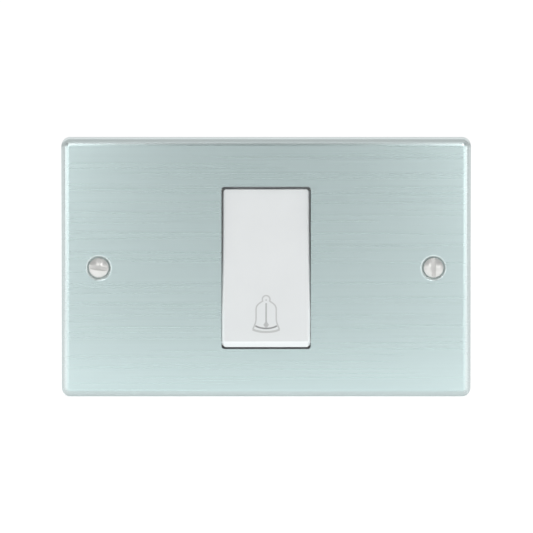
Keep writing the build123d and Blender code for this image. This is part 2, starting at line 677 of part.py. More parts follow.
def fixed_contact_tip():
    """Contact on the switched terminal's strip, facing the blade."""
    tip = Rot(180, 0, 0) * contact_tip(TIP_HEIGHT, STRIP_THICKNESS)
    return Pos(0, STRIP_Y, CLOSED_TIP_Z) * tip


def terminal(side, strip_start):
    """Brass block with its wire tunnel, clamp-screw hole, tail and strip, above or below the pivot."""
    half = BLADE_WIDTH / 2
    half_block = TERMINAL_SIDE / 2
    body = block(-half_block, half_block, BLOCK_Y, BLOCK_REAR_Y, TAIL_Z, TAIL_Z + TERMINAL_SIDE)
    body = chamfer(body.edges().filter_by(Axis.Y), TERMINAL_EDGE)
    tunnel = Plane.XY.offset(TAIL_Z) * Pos(0, TUNNEL_Y) * Circle(TUNNEL_RADIUS)
    body -= extrude(tunnel, amount=TERMINAL_SIDE)
    body -= rod(CLAMP_SCREW_DIAMETER / 2, TUNNEL_Y, BLOCK_REAR_Y, z=TERMINAL_ARM)
    body += block(-half, half, STRIP_Y, BLOCK_Y, TAIL_Z, TAIL_Z + STRIP_THICKNESS)
    body += block(-half, half, STRIP_Y, FLOOR_Y, strip_start, TAIL_Z + STRIP_THICKNESS)
    return body if side > 0 else mirror(body, Plane.XY)


def switched_terminal():
    """Upper terminal, with the fixed contact's strip."""
    strip = terminal(1, CLOSED_TIP_Z - TIP_RADIUS)
    return strip - rod(TIP_STEM_DIAMETER / 2, STRIP_Y, FLOOR_Y, z=CLOSED_TIP_Z)


def common_terminal():
    """Lower terminal, whose strip carries the rounded fulcrum."""
    half = BLADE_WIDTH / 2
    fulcrum = block(-half, half, FULCRUM_Y, STRIP_Y, -FULCRUM_RADIUS, FULCRUM_RADIUS)
    edge = Plane.YZ.offset(-half) * Pos(FULCRUM_Y, 0) * Circle(FULCRUM_RADIUS)
    fulcrum += extrude(edge, amount=BLADE_WIDTH)
    return terminal(-1, -FULCRUM_RADIUS) + fulcrum


def terminal_screw(side):
    """Cheese-head clamp screw, backed out so that the tunnel is free."""
    z = side * TERMINAL_ARM
    head_rear = CLAMP_HEAD_Y + CLAMP_HEAD_HEIGHT
    head = rod(CLAMP_HEAD_DIAMETER / 2, CLAMP_HEAD_Y, head_rear, z=z)
    head = fillet(head.edges().group_by(Axis.Y)[-1], CLAMP_HEAD_HEIGHT * HEAD_ROUNDING)
    shank = rod(CLAMP_SCREW_DIAMETER / 2, CLAMP_TIP_Y, CLAMP_HEAD_Y, z=z)
    half = CLAMP_HEAD_DIAMETER / 2
    half_slot = CLAMP_SLOT_WIDTH / 2
    slot = block(-half, half, head_rear - CLAMP_SLOT_DEPTH, head_rear, z - half_slot, z + half_slot)
    return head + shank - slot


# Module housing and retaining frame
def flange_outline():
    """Outline that the housing's flange and the frame share."""
    return RectangleRounded(2 * FLANGE_HALF, 2 * FLANGE_HALF_HEIGHT, FLANGE_CORNER_RADIUS)


def pegs(front, back):
    """Four pegs that join the frame to the flange, or their holes."""
    places = [Pos(x * PEG_X, z * PEG_ARM) for x in (-1, 1) for z in (-1, 1)]
    return solid_between(Sketch() + [place * Circle(PEG_DIAMETER / 2) for place in places], front, back)


def retaining_frame():
    """Frame over the flange, with fingers that close the trunnions' bearing slots."""
    ring = flange_outline() - Rectangle(2 * CAVITY_HALF, 2 * SWING_HALF)
    frame = solid_between(ring, FRAME_FRONT_Y, FLANGE_FRONT_Y)
    finger_end = -BEARING_RADIUS - KEEPER_CLEARANCE
    half = BEARING_RADIUS - KEEPER_CLEARANCE
    for side in (-1, 1):
        x0, x1 = sorted((side * CAVITY_HALF, side * (BEARING_HALF - KEEPER_CLEARANCE)))
        frame += block(x0, x1, FRAME_FRONT_Y, finger_end, -half, half)
    return frame + pegs(FLANGE_FRONT_Y, FLANGE_FRONT_Y + PEG_LENGTH)


def terminal_turret(side):
    """Walls round a terminal block behind the floor."""
    width = TERMINAL_SIDE + 2 * (POCKET_CLEARANCE + TURRET_WALL)
    outline = RectangleRounded(width, width, TURRET_CORNER_RADIUS)
    return solid_between(Pos(0, side * TERMINAL_ARM) * outline, BLOCK_Y, TURRET_REAR_Y)


def turret_pocket(side):
    """Room for a terminal block, its tail and its wire, as the material to take away."""
    half = TERMINAL_SIDE / 2 + POCKET_CLEARANCE
    outer = half + TURRET_WALL
    centre = side * TERMINAL_ARM
    room = block(-half, half, BLOCK_Y, TURRET_REAR_Y, centre - half, centre + half)
    entry_floor = TUNNEL_Y - TUNNEL_RADIUS - WIRE_SLOT_FLOOR
    z0, z1 = sorted((centre, centre + side * outer))
    room += block(-WIRE_SLOT_WIDTH / 2, WIRE_SLOT_WIDTH / 2, entry_floor, TURRET_REAR_Y, z0, z1)
    tail_half = BLADE_WIDTH / 2 + POCKET_CLEARANCE
    tail_end = TAIL_Z + STRIP_THICKNESS + POCKET_CLEARANCE
    z0, z1 = sorted((side * (TAIL_Z - POCKET_CLEARANCE), side * tail_end))
    return room + block(-tail_half, tail_half, FLOOR_Y, BLOCK_Y, z0, z1)


def snap_lug(side):
    """Wedge that catches behind the yoke's window."""
    edge = side * (BODY_HEIGHT / 2)
    wedge = make_face(
        Polyline(
            (SNAP_CLEARANCE, edge),
            (SNAP_CLEARANCE, edge + side * SNAP_HEIGHT),
            (SNAP_LENGTH, edge),
            close=True,
        )
    )
    return extrude(Plane.YZ * wedge, amount=SNAP_WIDTH / 2, both=True)


def tongue_slots(side):
    """Slot on three sides of a snap lug, which leaves it on a springy tongue of the end wall."""
    outer = SNAP_WIDTH / 2 + TONGUE_MARGIN + TONGUE_SLIT
    inner = outer - TONGUE_SLIT
    edge = side * BODY_HEIGHT / 2
    z0, z1 = sorted((edge, edge - side * END_WALL))
    slots = block(-outer, outer, -YOKE_SHEET, TONGUE_SLIT - YOKE_SHEET, z0, z1)
    for x0, x1 in ((-outer, -inner), (inner, outer)):
        slots += block(x0, x1, -YOKE_SHEET, TONGUE_LENGTH, z0, z1)
    return slots


def housing_shell():
    """Body and flange with the rocker's cavity."""
    body = RectangleRounded(2 * BODY_HALF, BODY_HEIGHT, BODY_CORNER_RADIUS)
    shell = solid_between(body, -YOKE_SHEET, BLOCK_Y)
    shell = fillet(shell.faces().sort_by(Axis.Y)[-1].edges(), BODY_REAR_RADIUS)
    shell += solid_between(flange_outline(), FLANGE_FRONT_Y, -YOKE_SHEET)
    shell -= solid_between(Rectangle(2 * CAVITY_HALF, 2 * SWING_HALF), FLANGE_FRONT_Y, -YOKE_SHEET)
    cavity = Rectangle(2 * CAVITY_HALF, BODY_HEIGHT - 2 * END_WALL)
    return shell - solid_between(cavity, -YOKE_SHEET, FLOOR_Y)


def module_housing():
    """Moulded base: bearings, floor, spring post, blade guides, terminal turrets and snap lugs."""
    housing = housing_shell()
    bearing = Plane.YZ.offset(-BEARING_HALF) * Circle(BEARING_RADIUS)
    slots = extrude(bearing, amount=2 * BEARING_HALF)
    slots += block(-BEARING_HALF, BEARING_HALF, FLANGE_FRONT_Y, 0, -BEARING_RADIUS, BEARING_RADIUS)
    housing -= slots
    housing += rod(RETURN_POST_RADIUS, RETURN_POST_TOP, FLOOR_Y, z=-RETURN_ARM)
    spigot_top = RETURN_POST_TOP - RETURN_SPIGOT_HEIGHT
    housing += rod(RETURN_SPIGOT_DIAMETER / 2, spigot_top, RETURN_POST_TOP, z=-RETURN_ARM)
    guide = BLADE_WIDTH / 2 + GUIDE_CLEARANCE
    for side in (-1, 1):
        x0, x1 = sorted((side * guide, side * (guide + GUIDE_RIB)))
        housing += block(x0, x1, GUIDE_FRONT, FLOOR_Y, -GUIDE_HALF_LENGTH, GUIDE_HALF_LENGTH)
        housing += terminal_turret(side)
        housing -= turret_pocket(side) + tongue_slots(side)
        housing += snap_lug(side)
    return housing - pegs(FLANGE_FRONT_Y, -YOKE_SHEET)


PARTS = {
    "cover_plate": cover_plate,
    "fixing_screws": lambda: Compound([fixing_screw(side) for side in (-1, 1)]),
    "screw_retainers": lambda: Compound([screw_retainer(side) for side in (-1, 1)]),
    "yoke": yoke,
    "earth_screw": earth_screw,
    "earth_washer": earth_washer,
    "module_housing": module_housing,
    "retaining_frame": retaining_frame,
    "rocker": rocker,
    "plunger": plunger,
    "plunger_spring": plunger_spring,
    "return_spring": return_spring,
    "contact_blade": contact_blade,
    "moving_contact_tip": moving_contact_tip,
    "fixed_contact_tip": fixed_contact_tip,
    "switched_terminal": switched_terminal,
    "common_terminal": common_terminal,
    "terminal_screws": lambda: Compound([terminal_screw(side) for side in (-1, 1)]),
}

os.makedirs("parts", exist_ok=True)
for name, make in PARTS.items():
    export_step(make(), f"parts/{name}.step")
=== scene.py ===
"""Looks of the doorbell push: finishes, bell sign, threaded screws, springs, stage, light and camera.

Metres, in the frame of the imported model: X to the right, Z up, Y into the wall.
"""

from __future__ import annotations

import json
import logging
import math
from dataclasses import dataclass, field
from enum import Enum

import bpy
from mathutils import Euler, Matrix, Vector


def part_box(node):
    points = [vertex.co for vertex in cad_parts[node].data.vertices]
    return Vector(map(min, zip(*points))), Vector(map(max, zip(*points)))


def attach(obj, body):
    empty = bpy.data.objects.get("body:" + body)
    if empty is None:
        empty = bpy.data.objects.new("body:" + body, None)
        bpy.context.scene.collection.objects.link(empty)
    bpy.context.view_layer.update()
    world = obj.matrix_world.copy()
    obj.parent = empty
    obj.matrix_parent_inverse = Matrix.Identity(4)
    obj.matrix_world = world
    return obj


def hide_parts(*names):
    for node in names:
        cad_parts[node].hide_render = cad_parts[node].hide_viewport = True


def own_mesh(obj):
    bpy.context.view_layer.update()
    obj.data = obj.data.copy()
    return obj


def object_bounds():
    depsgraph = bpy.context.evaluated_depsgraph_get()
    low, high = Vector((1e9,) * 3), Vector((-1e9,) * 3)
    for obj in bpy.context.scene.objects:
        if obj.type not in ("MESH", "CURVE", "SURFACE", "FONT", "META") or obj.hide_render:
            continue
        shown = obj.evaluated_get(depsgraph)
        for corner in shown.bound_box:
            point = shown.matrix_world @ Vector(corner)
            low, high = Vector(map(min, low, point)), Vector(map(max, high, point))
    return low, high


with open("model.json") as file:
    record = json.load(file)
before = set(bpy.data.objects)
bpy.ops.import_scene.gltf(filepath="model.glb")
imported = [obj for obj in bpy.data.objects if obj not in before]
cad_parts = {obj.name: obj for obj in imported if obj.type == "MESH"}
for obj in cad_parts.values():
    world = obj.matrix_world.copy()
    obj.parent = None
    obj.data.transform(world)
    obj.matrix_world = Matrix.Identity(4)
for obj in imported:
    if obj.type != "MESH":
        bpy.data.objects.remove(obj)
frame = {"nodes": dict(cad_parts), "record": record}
CAD_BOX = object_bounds()

LOG = logging.getLogger("doorbell_push")
MM = 0.001
IMAGE_PIXELS = 533
FRONT = (0.0, -1.0, 0.0)
INWARDS = (0.0, 1.0, 0.0)
WITHOUT_Z = (1.0, 1.0, 0.0)
WHITE = (1.0, 1.0, 1.0, 1.0)

# Attributes that a piece carries for its finish
TURN_RADIUS = "turn_radius"
LINE_WIDTH = "line_width"
INK_WEIGHT = "ink_weight"

# Meshes: the smallest radius that gets a ring, the welding distance, and the bends that stay crisp
POLE = 1e-9
WELD = 1e-7
SCREW_CREASE = math.radians(30)
WIRE_CREASE = math.radians(50)
PRINT_CREASE = math.radians(40)

# Sweeps: steps per turn and corners of the section, for a thread's ridge and for a spring's wire
THREAD_STEPS = 28
RIDGE_CORNERS = 4
COIL_STEPS = 36.0
WIRE_CORNERS = 14

# Print: a stroke's height as a share of its width, and how far in front of the face it starts at most
RIBBON_HEIGHT = 0.2
PRINT_REACH = 0.1

# How much deeper a sagging curve's leads lie than the curve itself
LEAD_DEPTH = 4 / 3

# Noise patterns: useful middle range, detail, and how much broader streaks are than lines
PATTERN_LOW = 0.25
PATTERN_HIGH = 0.75
FINE_DETAIL = 3.0
BROAD_DETAIL = 2.0
STREAK_SCALE = 0.16

Colour = tuple[float, float, float]
Triple = tuple[float, float, float]
Pair = tuple[float, float]
Levels = tuple[Pair, ...]
Piece = bpy.types.Object
Tree = bpy.types.NodeTree
Node = bpy.types.Node
Outputs = bpy.types.NodeOutputs
Socket = bpy.types.NodeSocket
Patterns = tuple[Socket, Socket, Socket]


class NodeWriter:
    """Adds nodes to one tree, sets their inputs and joins their sockets."""

    def __init__(self, tree: Tree) -> None:
        """Keeps the tree that is written to."""
        self.tree = tree

    def fill(self, node: Node, inputs: dict) -> None:
        """Joins sockets to a node's inputs, or sets the inputs' plain values.

        Args:
            node: The node.
            inputs: Output sockets or plain values by input name or number.
        """
        for name, value in inputs.items():
            if isinstance(value, Socket):
                self.tree.links.new(value, node.inputs[name])
            else:
                node.inputs[name].default_value = value

    def add(self, kind: str, inputs: dict | None = None, **settings: object) -> Node:
        """Adds one node.

        Args:
            kind: The node's type name.
            inputs: Output sockets or plain values by input name or number.
            settings: The node's own properties.

        Returns:
            The new node.
        """
        node = self.tree.nodes.new(kind)
        for name, value in settings.items():
            setattr(node, name, value)
        self.fill(node, inputs or {})
        return node

    def math(self, operation: str, first: object, second: object = 0.0, **settings: object) -> Socket:
        """Returns the result of a sum on one or two values."""
        return self.add("ShaderNodeMath", {0: first, 1: second}, operation=operation, **settings).outputs[0]

    def vector_math(self, operation: str, inputs: dict) -> Outputs:
        """Returns the results of a sum on vectors."""
        return self.add("ShaderNodeVectorMath", inputs, operation=operation).outputs


class Mixed(Enum):
    """What a Mix node blends: its data type, then its two inputs and its output by number."""

    COLOURS = ("RGBA", 6, 7, 2)
    VALUES = ("FLOAT", 2, 3, 0)


class ShaderWriter(NodeWriter):
    """Writes shader trees: short forms of the nodes that the finishes use most."""

    def effect(self, tree: Tree, inputs: dict | None = None) -> Outputs:
        """Returns the outputs of a shared effect, placed with its own input values."""
        return self.add("ShaderNodeGroup", inputs, node_tree=tree).outputs

    def spread(self, value: Socket, low: float, high: float) -> Socket:
        """Returns a pattern's useful middle range, mapped onto two limits."""
        pattern = {"Value": value, "From Min": PATTERN_LOW, "From Max": PATTERN_HIGH}
        return self.add("ShaderNodeMapRange", {**pattern, "To Min": low, "To Max": high}).outputs["Result"]

    def mix(self, kind: Mixed, factor: Socket, first: object, second: object) -> Socket:
        """Blends two colours or two values.

        Args:
            kind: What is blended.
            factor: The second one's share, 0 to 1.
            first: The first one, or its socket.
            second: The second one, or its socket.

        Returns:
            The blended colour or value.
        """
        data_type, first_input, second_input, output = kind.value
        node = self.add("ShaderNodeMix", data_type=data_type)
        self.fill(node, {0: factor, first_input: first, second_input: second})
        return node.outputs[output]

    def bump(self, height: Socket, depth: float) -> Socket:
        """Returns the normal that a pattern bends by a relief of this depth in metres."""
        inputs = {"Height": height, "Distance": depth, "Strength": 1.0}
        return self.add("ShaderNodeBump", inputs).outputs["Normal"]

    def graded(self, value: Socket, stops: Levels) -> Socket:
        """Looks a value up in a short table.

        Args:
            value: The value to look up.
            stops: Pairs of value and level, by rising value.

        Returns:
            The level, blended evenly between the stops.
        """
        low, high = stops[0][0], stops[-1][0]
        share = self.add("ShaderNodeMapRange", {"Value": value, "From Min": low, "From Max": high})
        table = self.add("ShaderNodeValToRGB", {"Fac": share.outputs["Result"]})
        points = table.color_ramp.elements
        for at, _ in stops[1:-1]:
            points.new((at - low) / (high - low))
        for point, (_, level) in zip(points, stops):
            point.color = (level, level, level, 1.0)
        return table.outputs["Color"]

    def turned(self, levels: Levels) -> Socket:
        """Returns a level by how squarely the surface faces the front, where 1 is squarely."""
        return self.graded(self.effect(facing_front())["Facing"], levels)

    def for_camera(self, others: Socket, camera: float) -> Socket:
        """Returns one level for the camera, and another for light that meets the push."""
        direct = self.add("ShaderNodeLightPath").outputs["Is Camera Ray"]
        return self.mix(Mixed.VALUES, direct, others, camera)


def scaled(colour: Colour, factor: float) -> tuple[float, float, float, float]:
    """Returns the colour made lighter or darker by a factor, opaque."""
    return (*(min(1.0, part * factor) for part in colour), 1.0)


def new_effect(name: str, inputs: dict[str, tuple[str, object]], outputs: list[str]) -> ShaderWriter | None:
    """Starts a shared shader effect.

    Args:
        name: The group's name.
        inputs: Socket type and first value by input name.
        outputs: Names of the output values.

    Returns:
        A writer for the new group, or None where the group is already built.
    """
    if bpy.data.node_groups.get(name):
        return None
    tree = bpy.data.node_groups.new(name, "ShaderNodeTree")
    for label, (kind, value) in inputs.items():
        tree.interface.new_socket(label, in_out="INPUT", socket_type=kind).default_value = value
    for label in outputs:
        tree.interface.new_socket(label, in_out="OUTPUT", socket_type="NodeSocketFloat")
    return ShaderWriter(tree)


def brushed_lines() -> Tree:
    """Builds the effect of fine brushed lines with broad streaks among them.

    Returns:
        The node group, with the stretch along each axis as its input.
    """
    name = "brushed lines"
    writer = new_effect(name, {"Stretch": ("NodeSocketVector", (1.0, 1.0, 1.0))}, ["Lines", "Streaks"])
    if writer:
        stretch = writer.add("NodeGroupInput").outputs["Stretch"]
        place = writer.add("ShaderNodeTexCoord").outputs["Object"]
        fine = writer.vector_math("MULTIPLY", {0: place, 1: stretch})[0]
        broad = writer.vector_math("SCALE", {0: fine, "Scale": STREAK_SCALE})[0]
        ends = {}
        for output, where, detail in (("Lines", fine, FINE_DETAIL), ("Streaks", broad, BROAD_DETAIL)):
            noise = {"Vector": where, "Scale": 1.0, "Detail": detail}
            ends[output] = writer.add("ShaderNodeTexNoise", noise).outputs[0]
        writer.add("NodeGroupOutput", ends)
    return bpy.data.node_groups[name]


def surface_grain() -> Tree:
    """Builds the effect of fine grain with soft clouds, for moulded, plated and printed surfaces.

    Returns:
        The node group, with the grain size and the cloud size as its inputs.
    """
    name = "surface grain"
    sizes = {"Grain Size": ("NodeSocketFloat", 0.1 * MM), "Cloud Size": ("NodeSocketFloat", 6 * MM)}
    writer = new_effect(name, sizes, ["Clouds", "Grain"])
    if writer:
        source = writer.add("NodeGroupInput").outputs
        place = writer.add("ShaderNodeTexCoord").outputs["Object"]
        ends = {}
        for output, size in (("Grain", "Grain Size"), ("Clouds", "Cloud Size")):
            scale = writer.math("DIVIDE", 1.0, source[size])
            noise = {"Vector": place, "Scale": scale, "Detail": FINE_DETAIL}
            ends[output] = writer.add("ShaderNodeTexNoise", noise).outputs[0]
        writer.add("NodeGroupOutput", ends)
    return bpy.data.node_groups[name]


def turned_rings() -> Tree:
    """Builds the effect of the rings that a lathe tool leaves, from a piece's own radius attribute.

    Returns:
        The node group, with the ring pitch as its input.
    """
    name = "turned rings"
    writer = new_effect(name, {"Pitch": ("NodeSocketFloat", 0.08 * MM)}, ["Rings"])
    if writer:
        pitch = writer.add("NodeGroupInput").outputs["Pitch"]
        radius = writer.add("ShaderNodeAttribute", attribute_name=TURN_RADIUS).outputs["Fac"]
        noise = {"W": writer.math("DIVIDE", radius, pitch), "Scale": 1.0}
        rings = writer.add("ShaderNodeTexNoise", noise, noise_dimensions="1D").outputs[0]
        writer.add("NodeGroupOutput", {"Rings": rings})
    return bpy.data.node_groups[name]


def facing_front() -> Tree:
    """Builds the mask of how squarely a surface faces the front: 1 is squarely, -1 is the back.

    Returns:
        The node group.
    """
    name = "facing front"
    writer = new_effect(name, {"Front": ("NodeSocketVector", FRONT)}, ["Facing"])
    if writer:
        front = writer.add("NodeGroupInput").outputs["Front"]
        normal = writer.add("ShaderNodeTexCoord").outputs["Normal"]
        facing = writer.vector_math("DOT_PRODUCT", {0: normal, 1: front})["Value"]
        writer.add("NodeGroupOutput", {"Facing": facing})
    return bpy.data.node_groups[name]


@dataclass(frozen=True)
class Finish:
    """What every finish has: its name, colour, gloss and relief, and the material that shows it."""

    name: str
    colour: Colour
    roughness: float
    contrast: float = 0.05
    roughness_spread: float = 0.05
    relief: float = 0.0015 * MM
    metallic: float = 1.0
    specular: float = 0.5

    def material(self) -> bpy.types.Material:
        """Builds the finish once and gives its material.

        Returns:
            The material.
        """
        made = bpy.data.materials.get(self.name)
        if made:
            return made
        made = bpy.data.materials.new(self.name)
        made.use_nodes = True
        made.node_tree.nodes.clear()
        writer = ShaderWriter(made.node_tree)
        shader = writer.add("ShaderNodeBsdfPrincipled", self.coat(writer))
        writer.add("ShaderNodeOutputMaterial", {"Surface": shader.outputs["BSDF"]})
        return made

    def coat(self, writer: ShaderWriter) -> dict[str, object]:
        """Makes what the shader's inputs get.

        Args:
            writer: Writes the material's tree.

        Returns:
            Sockets or plain values by the shader's input name.
        """
        for_colour, for_gloss, for_relief = self.patterns(writer)
        low, high = self.roughness - self.roughness_spread, self.roughness + self.roughness_spread
        coat = {
            "Base Color": self.tint(writer, for_colour),
            "Roughness": writer.spread(for_gloss, low, high),
            "Metallic": self.metallic,
            "Specular IOR Level": self.specular,
        }
        if self.relief:
            coat["Normal"] = writer.bump(for_relief, self.relief)
        return coat

    def patterns(self, writer: ShaderWriter) -> Patterns:
        """Returns the patterns of colour, gloss and relief; each kind of finish has its own."""
        raise NotImplementedError

    def tint(self, writer: ShaderWriter, pattern: Socket) -> Socket:
        """Returns the colour, made uneven by a pattern."""
        return self.shades(writer, pattern, self.colour)

    def shades(self, writer: ShaderWriter, pattern: Socket, colour: Colour) -> Socket:
        """Returns a blend of a darker and a lighter shade of a colour, by a pattern."""
        dark, light = scaled(colour, 1 - self.contrast), scaled(colour, 1 + self.contrast)
        return writer.mix(Mixed.COLOURS, writer.spread(pattern, 0.0, 1.0), dark, light)


@dataclass(frozen=True)
class BrushedSteel(Finish):
    """Sheet brushed along X: long fine lines, highlights drawn out across them, and a paler, less tinted
    colour painted where it turns from the front, as a painted highlight.
    """

    contrast: float = 0.025
    roughness_spread: float = 0.015
    relief: float = 0.0006 * MM
    line_length: float = 24 * MM
    line_pitch: float = 0.11 * MM
    anisotropy: float = 0.6
    # Painted highlight: a paler, less tinted colour on the bent rolls, the dimples and the back, so their
    # highlights read neutral
    rolled_highlight_colour: Colour = (0.655, 0.722, 0.722)
    rolled_highlight_levels: Levels = ((-1.0, 1.0), (0.6, 1.0), (0.94, 0.75), (0.997, 0.0), (1.0, 0.0))

    def coat(self, writer: ShaderWriter) -> dict[str, object]:
        """Adds the drawn-out gloss to what every finish has."""
        across = writer.add("ShaderNodeTangent", direction_type="RADIAL", axis="X").outputs["Tangent"]
        return {**super().coat(writer), "Anisotropic": self.anisotropy, "Tangent": across}

    def patterns(self, writer: ShaderWriter) -> Patterns:
        """Makes lines and streaks.

        Args:
            writer: Writes the material's tree.

        Returns:
            The mean of both for the colour, streaks for the gloss, and lines for the relief.
        """
        stretch = (1 / self.line_length, 1 / self.line_pitch, 1 / self.line_pitch)
        lines = writer.effect(brushed_lines(), {"Stretch": stretch})
        mean = writer.math("MULTIPLY", writer.math("ADD", lines["Lines"], lines["Streaks"]), 0.5)
        return mean, lines["Streaks"], lines["Lines"]

    def tint(self, writer: ShaderWriter, pattern: Socket) -> Socket:
        """Returns the face's shades, and the painted highlight colour's shades where the sheet is bent."""
        face, rolled_highlight_colour = (self.shades(writer, pattern, colour) for colour in (self.colour, self.rolled_highlight_colour))
        return writer.mix(Mixed.COLOURS, writer.turned(self.rolled_highlight_levels), face, rolled_highlight_colour)


@dataclass(frozen=True)
class GrainedFinish(Finish):
    """A finish with soft clouds and fine grain of its own sizes."""

    cloud_size: float = 1.5 * MM
    grain_size: float = 0.05 * MM

    def grain(self, writer: ShaderWriter) -> tuple[Socket, Socket]:
        """Returns the clouds and the grain."""
        sizes = {"Grain Size": self.grain_size, "Cloud Size": self.cloud_size}
        return tuple(writer.effect(surface_grain(), sizes))


@dataclass(frozen=True)
class TurnedMetal(GrainedFinish):
    """Turned and plated screw metal: lathe rings under a thin mottled plating."""

    ring_pitch: float = 0.07 * MM

    def patterns(self, writer: ShaderWriter) -> Patterns:
        """Returns clouds for the colour, and lathe rings for the gloss and the relief."""
        rings = writer.effect(turned_rings(), {"Pitch": self.ring_pitch})["Rings"]
        return self.grain(writer)[0], rings, rings


@dataclass(frozen=True)
class PlatedMetal(GrainedFinish):
    """Pressed, rolled or drawn metal: clouded colour and uneven gloss."""

    contrast: float = 0.08
    roughness_spread: float = 0.08
    relief: float = 0.002 * MM
    cloud_size: float = 5 * MM
    grain_size: float = 0.12 * MM

    def patterns(self, writer: ShaderWriter) -> Patterns:
        """Returns clouds for the colour and the gloss, and grain for the relief."""
        clouds, grain = self.grain(writer)
        return clouds, clouds, grain


@dataclass(frozen=True)
class MouldedPlastic(GrainedFinish):
    """Moulded plastic or pressed fibre: faint clouds, and a fine grain in the gloss."""

    contrast: float = 0.012
    roughness_spread: float = 0.03
    relief: float = 0.0008 * MM
    metallic: float = 0.0
    cloud_size: float = 9 * MM
    grain_size: float = 0.15 * MM

    def patterns(self, writer: ShaderWriter) -> Patterns:
        """Returns clouds for the colour, and grain for the gloss and the relief."""
        clouds, grain = self.grain(writer)
        return clouds, grain, grain


@dataclass(frozen=True)
class PaintedHighlightPlastic(MouldedPlastic):
    """Glossy moulding whose bevels, sides and toe, turned from the front, are painted whiter than its
    crown: a painted highlight.
    """

    # Painted highlight: the colour of faces turned from the front, whiter than the crown, where the side
    # lights fall
    painted_bevel_white: Colour = (0.85, 0.87, 0.875)
    painted_bevel_levels: Levels = ((0.0, 1.0), (0.88, 1.0), (0.94, 0.0), (1.0, 0.0))

    def tint(self, writer: ShaderWriter, pattern: Socket) -> Socket:
        """Returns the crown's shades, and a painted highlight in white where the moulding is turned from
        the front.
        """
        crown = super().tint(writer, pattern)
        return writer.mix(Mixed.COLOURS, writer.turned(self.painted_bevel_levels), crown, (*self.painted_bevel_white, 1.0))


@dataclass(frozen=True)
class PrintedInk(MouldedPlastic):
    """Flat printed ink, paler where it is thin; the piece's own attribute tells how heavy it is."""

    contrast: float = 0.1
    roughness_spread: float = 0.075
    relief: float = 0.0
    cloud_size: float = 0.9 * MM
    grain_size: float = 0.08 * MM
    heavy: Colour = (0.27, 0.28, 0.28)

    def tint(self, writer: ShaderWriter, pattern: Socket) -> Socket:
        """Blends thin and heavy ink.

        Args:
            writer: Writes the material's tree.
            pattern: The pattern that makes the print uneven.

        Returns:
            The blended colour.
        """
        weight = writer.add("ShaderNodeAttribute", attribute_name=INK_WEIGHT).outputs["Fac"]
        uneven = writer.spread(pattern, -self.contrast, self.contrast)
        amount = writer.math("ADD", weight, uneven, use_clamp=True)
        return writer.mix(Mixed.COLOURS, amount, (*self.colour, 1.0), (*self.heavy, 1.0))


BRUSHED_STAINLESS = BrushedSteel("brushed stainless", (0.60, 0.722, 0.722), 0.28)
BRIGHT_NICKEL = TurnedMetal("bright nickel", (0.66, 0.66, 0.645), 0.36)
RED_FIBRE = MouldedPlastic(
    "red fibre",
    (0.30, 0.065, 0.045),
    0.75,
    contrast=0.25,
    roughness_spread=0.06,
    cloud_size=0.8 * MM,
    grain_size=0.06 * MM,
    relief=0.004 * MM,
    specular=0.2,
)
ZINC_PLATE = PlatedMetal("zinc plate", (0.58, 0.6, 0.62), 0.36)
EARTH_BRASS = TurnedMetal("earth brass", (0.75, 0.56, 0.25), 0.24)
HOUSING_PLASTIC = MouldedPlastic("housing plastic", (0.72, 0.72, 0.69), 0.46, relief=0.0025 * MM)
# Painted shade: the retaining frame is made near black so that the gap round the rocker reads dark
SHADE_DARK_FRAME_PLASTIC = MouldedPlastic("frame plastic", (0.10, 0.10, 0.105), 0.46, relief=0.0025 * MM)
# The rocker's whiter bevels, sides and toe are a painted highlight
ROCKER_PLASTIC = PaintedHighlightPlastic("rocker plastic", (0.73, 0.75, 0.755), 0.22)
SIGN_INK = PrintedInk("sign ink", (0.50, 0.51, 0.51), 0.525)
NYLON = MouldedPlastic("natural nylon", (0.70, 0.68, 0.60), 0.5, relief=0.0015 * MM)
SPRING_STEEL = PlatedMetal(
    "spring steel", (0.42, 0.42, 0.44), 0.28, cloud_size=1.2 * MM, grain_size=0.05 * MM
)
BRONZE = PlatedMetal("phosphor bronze", (0.66, 0.38, 0.20), 0.3, cloud_size=3 * MM)
CONTACT_SILVER = PlatedMetal("contact silver", (0.80, 0.79, 0.76), 0.22, cloud_size=1.0 * MM)
TERMINAL_BRASS = PlatedMetal("terminal brass", (0.72, 0.55, 0.26), 0.3, cloud_size=4 * MM)
ZINC_SCREW = TurnedMetal("zinc screw", (0.60, 0.60, 0.60), 0.3)


def dress(node: str, finish: Finish) -> None:
    """Puts a finish on a node of the frame.

    Args:
        node: The node's name.
        finish: Its finish.
    """
    for holder in frame["nodes"][node].material_slots:
        holder.material = finish.material()
    LOG.info("dressed %s in %s", node, finish.name)


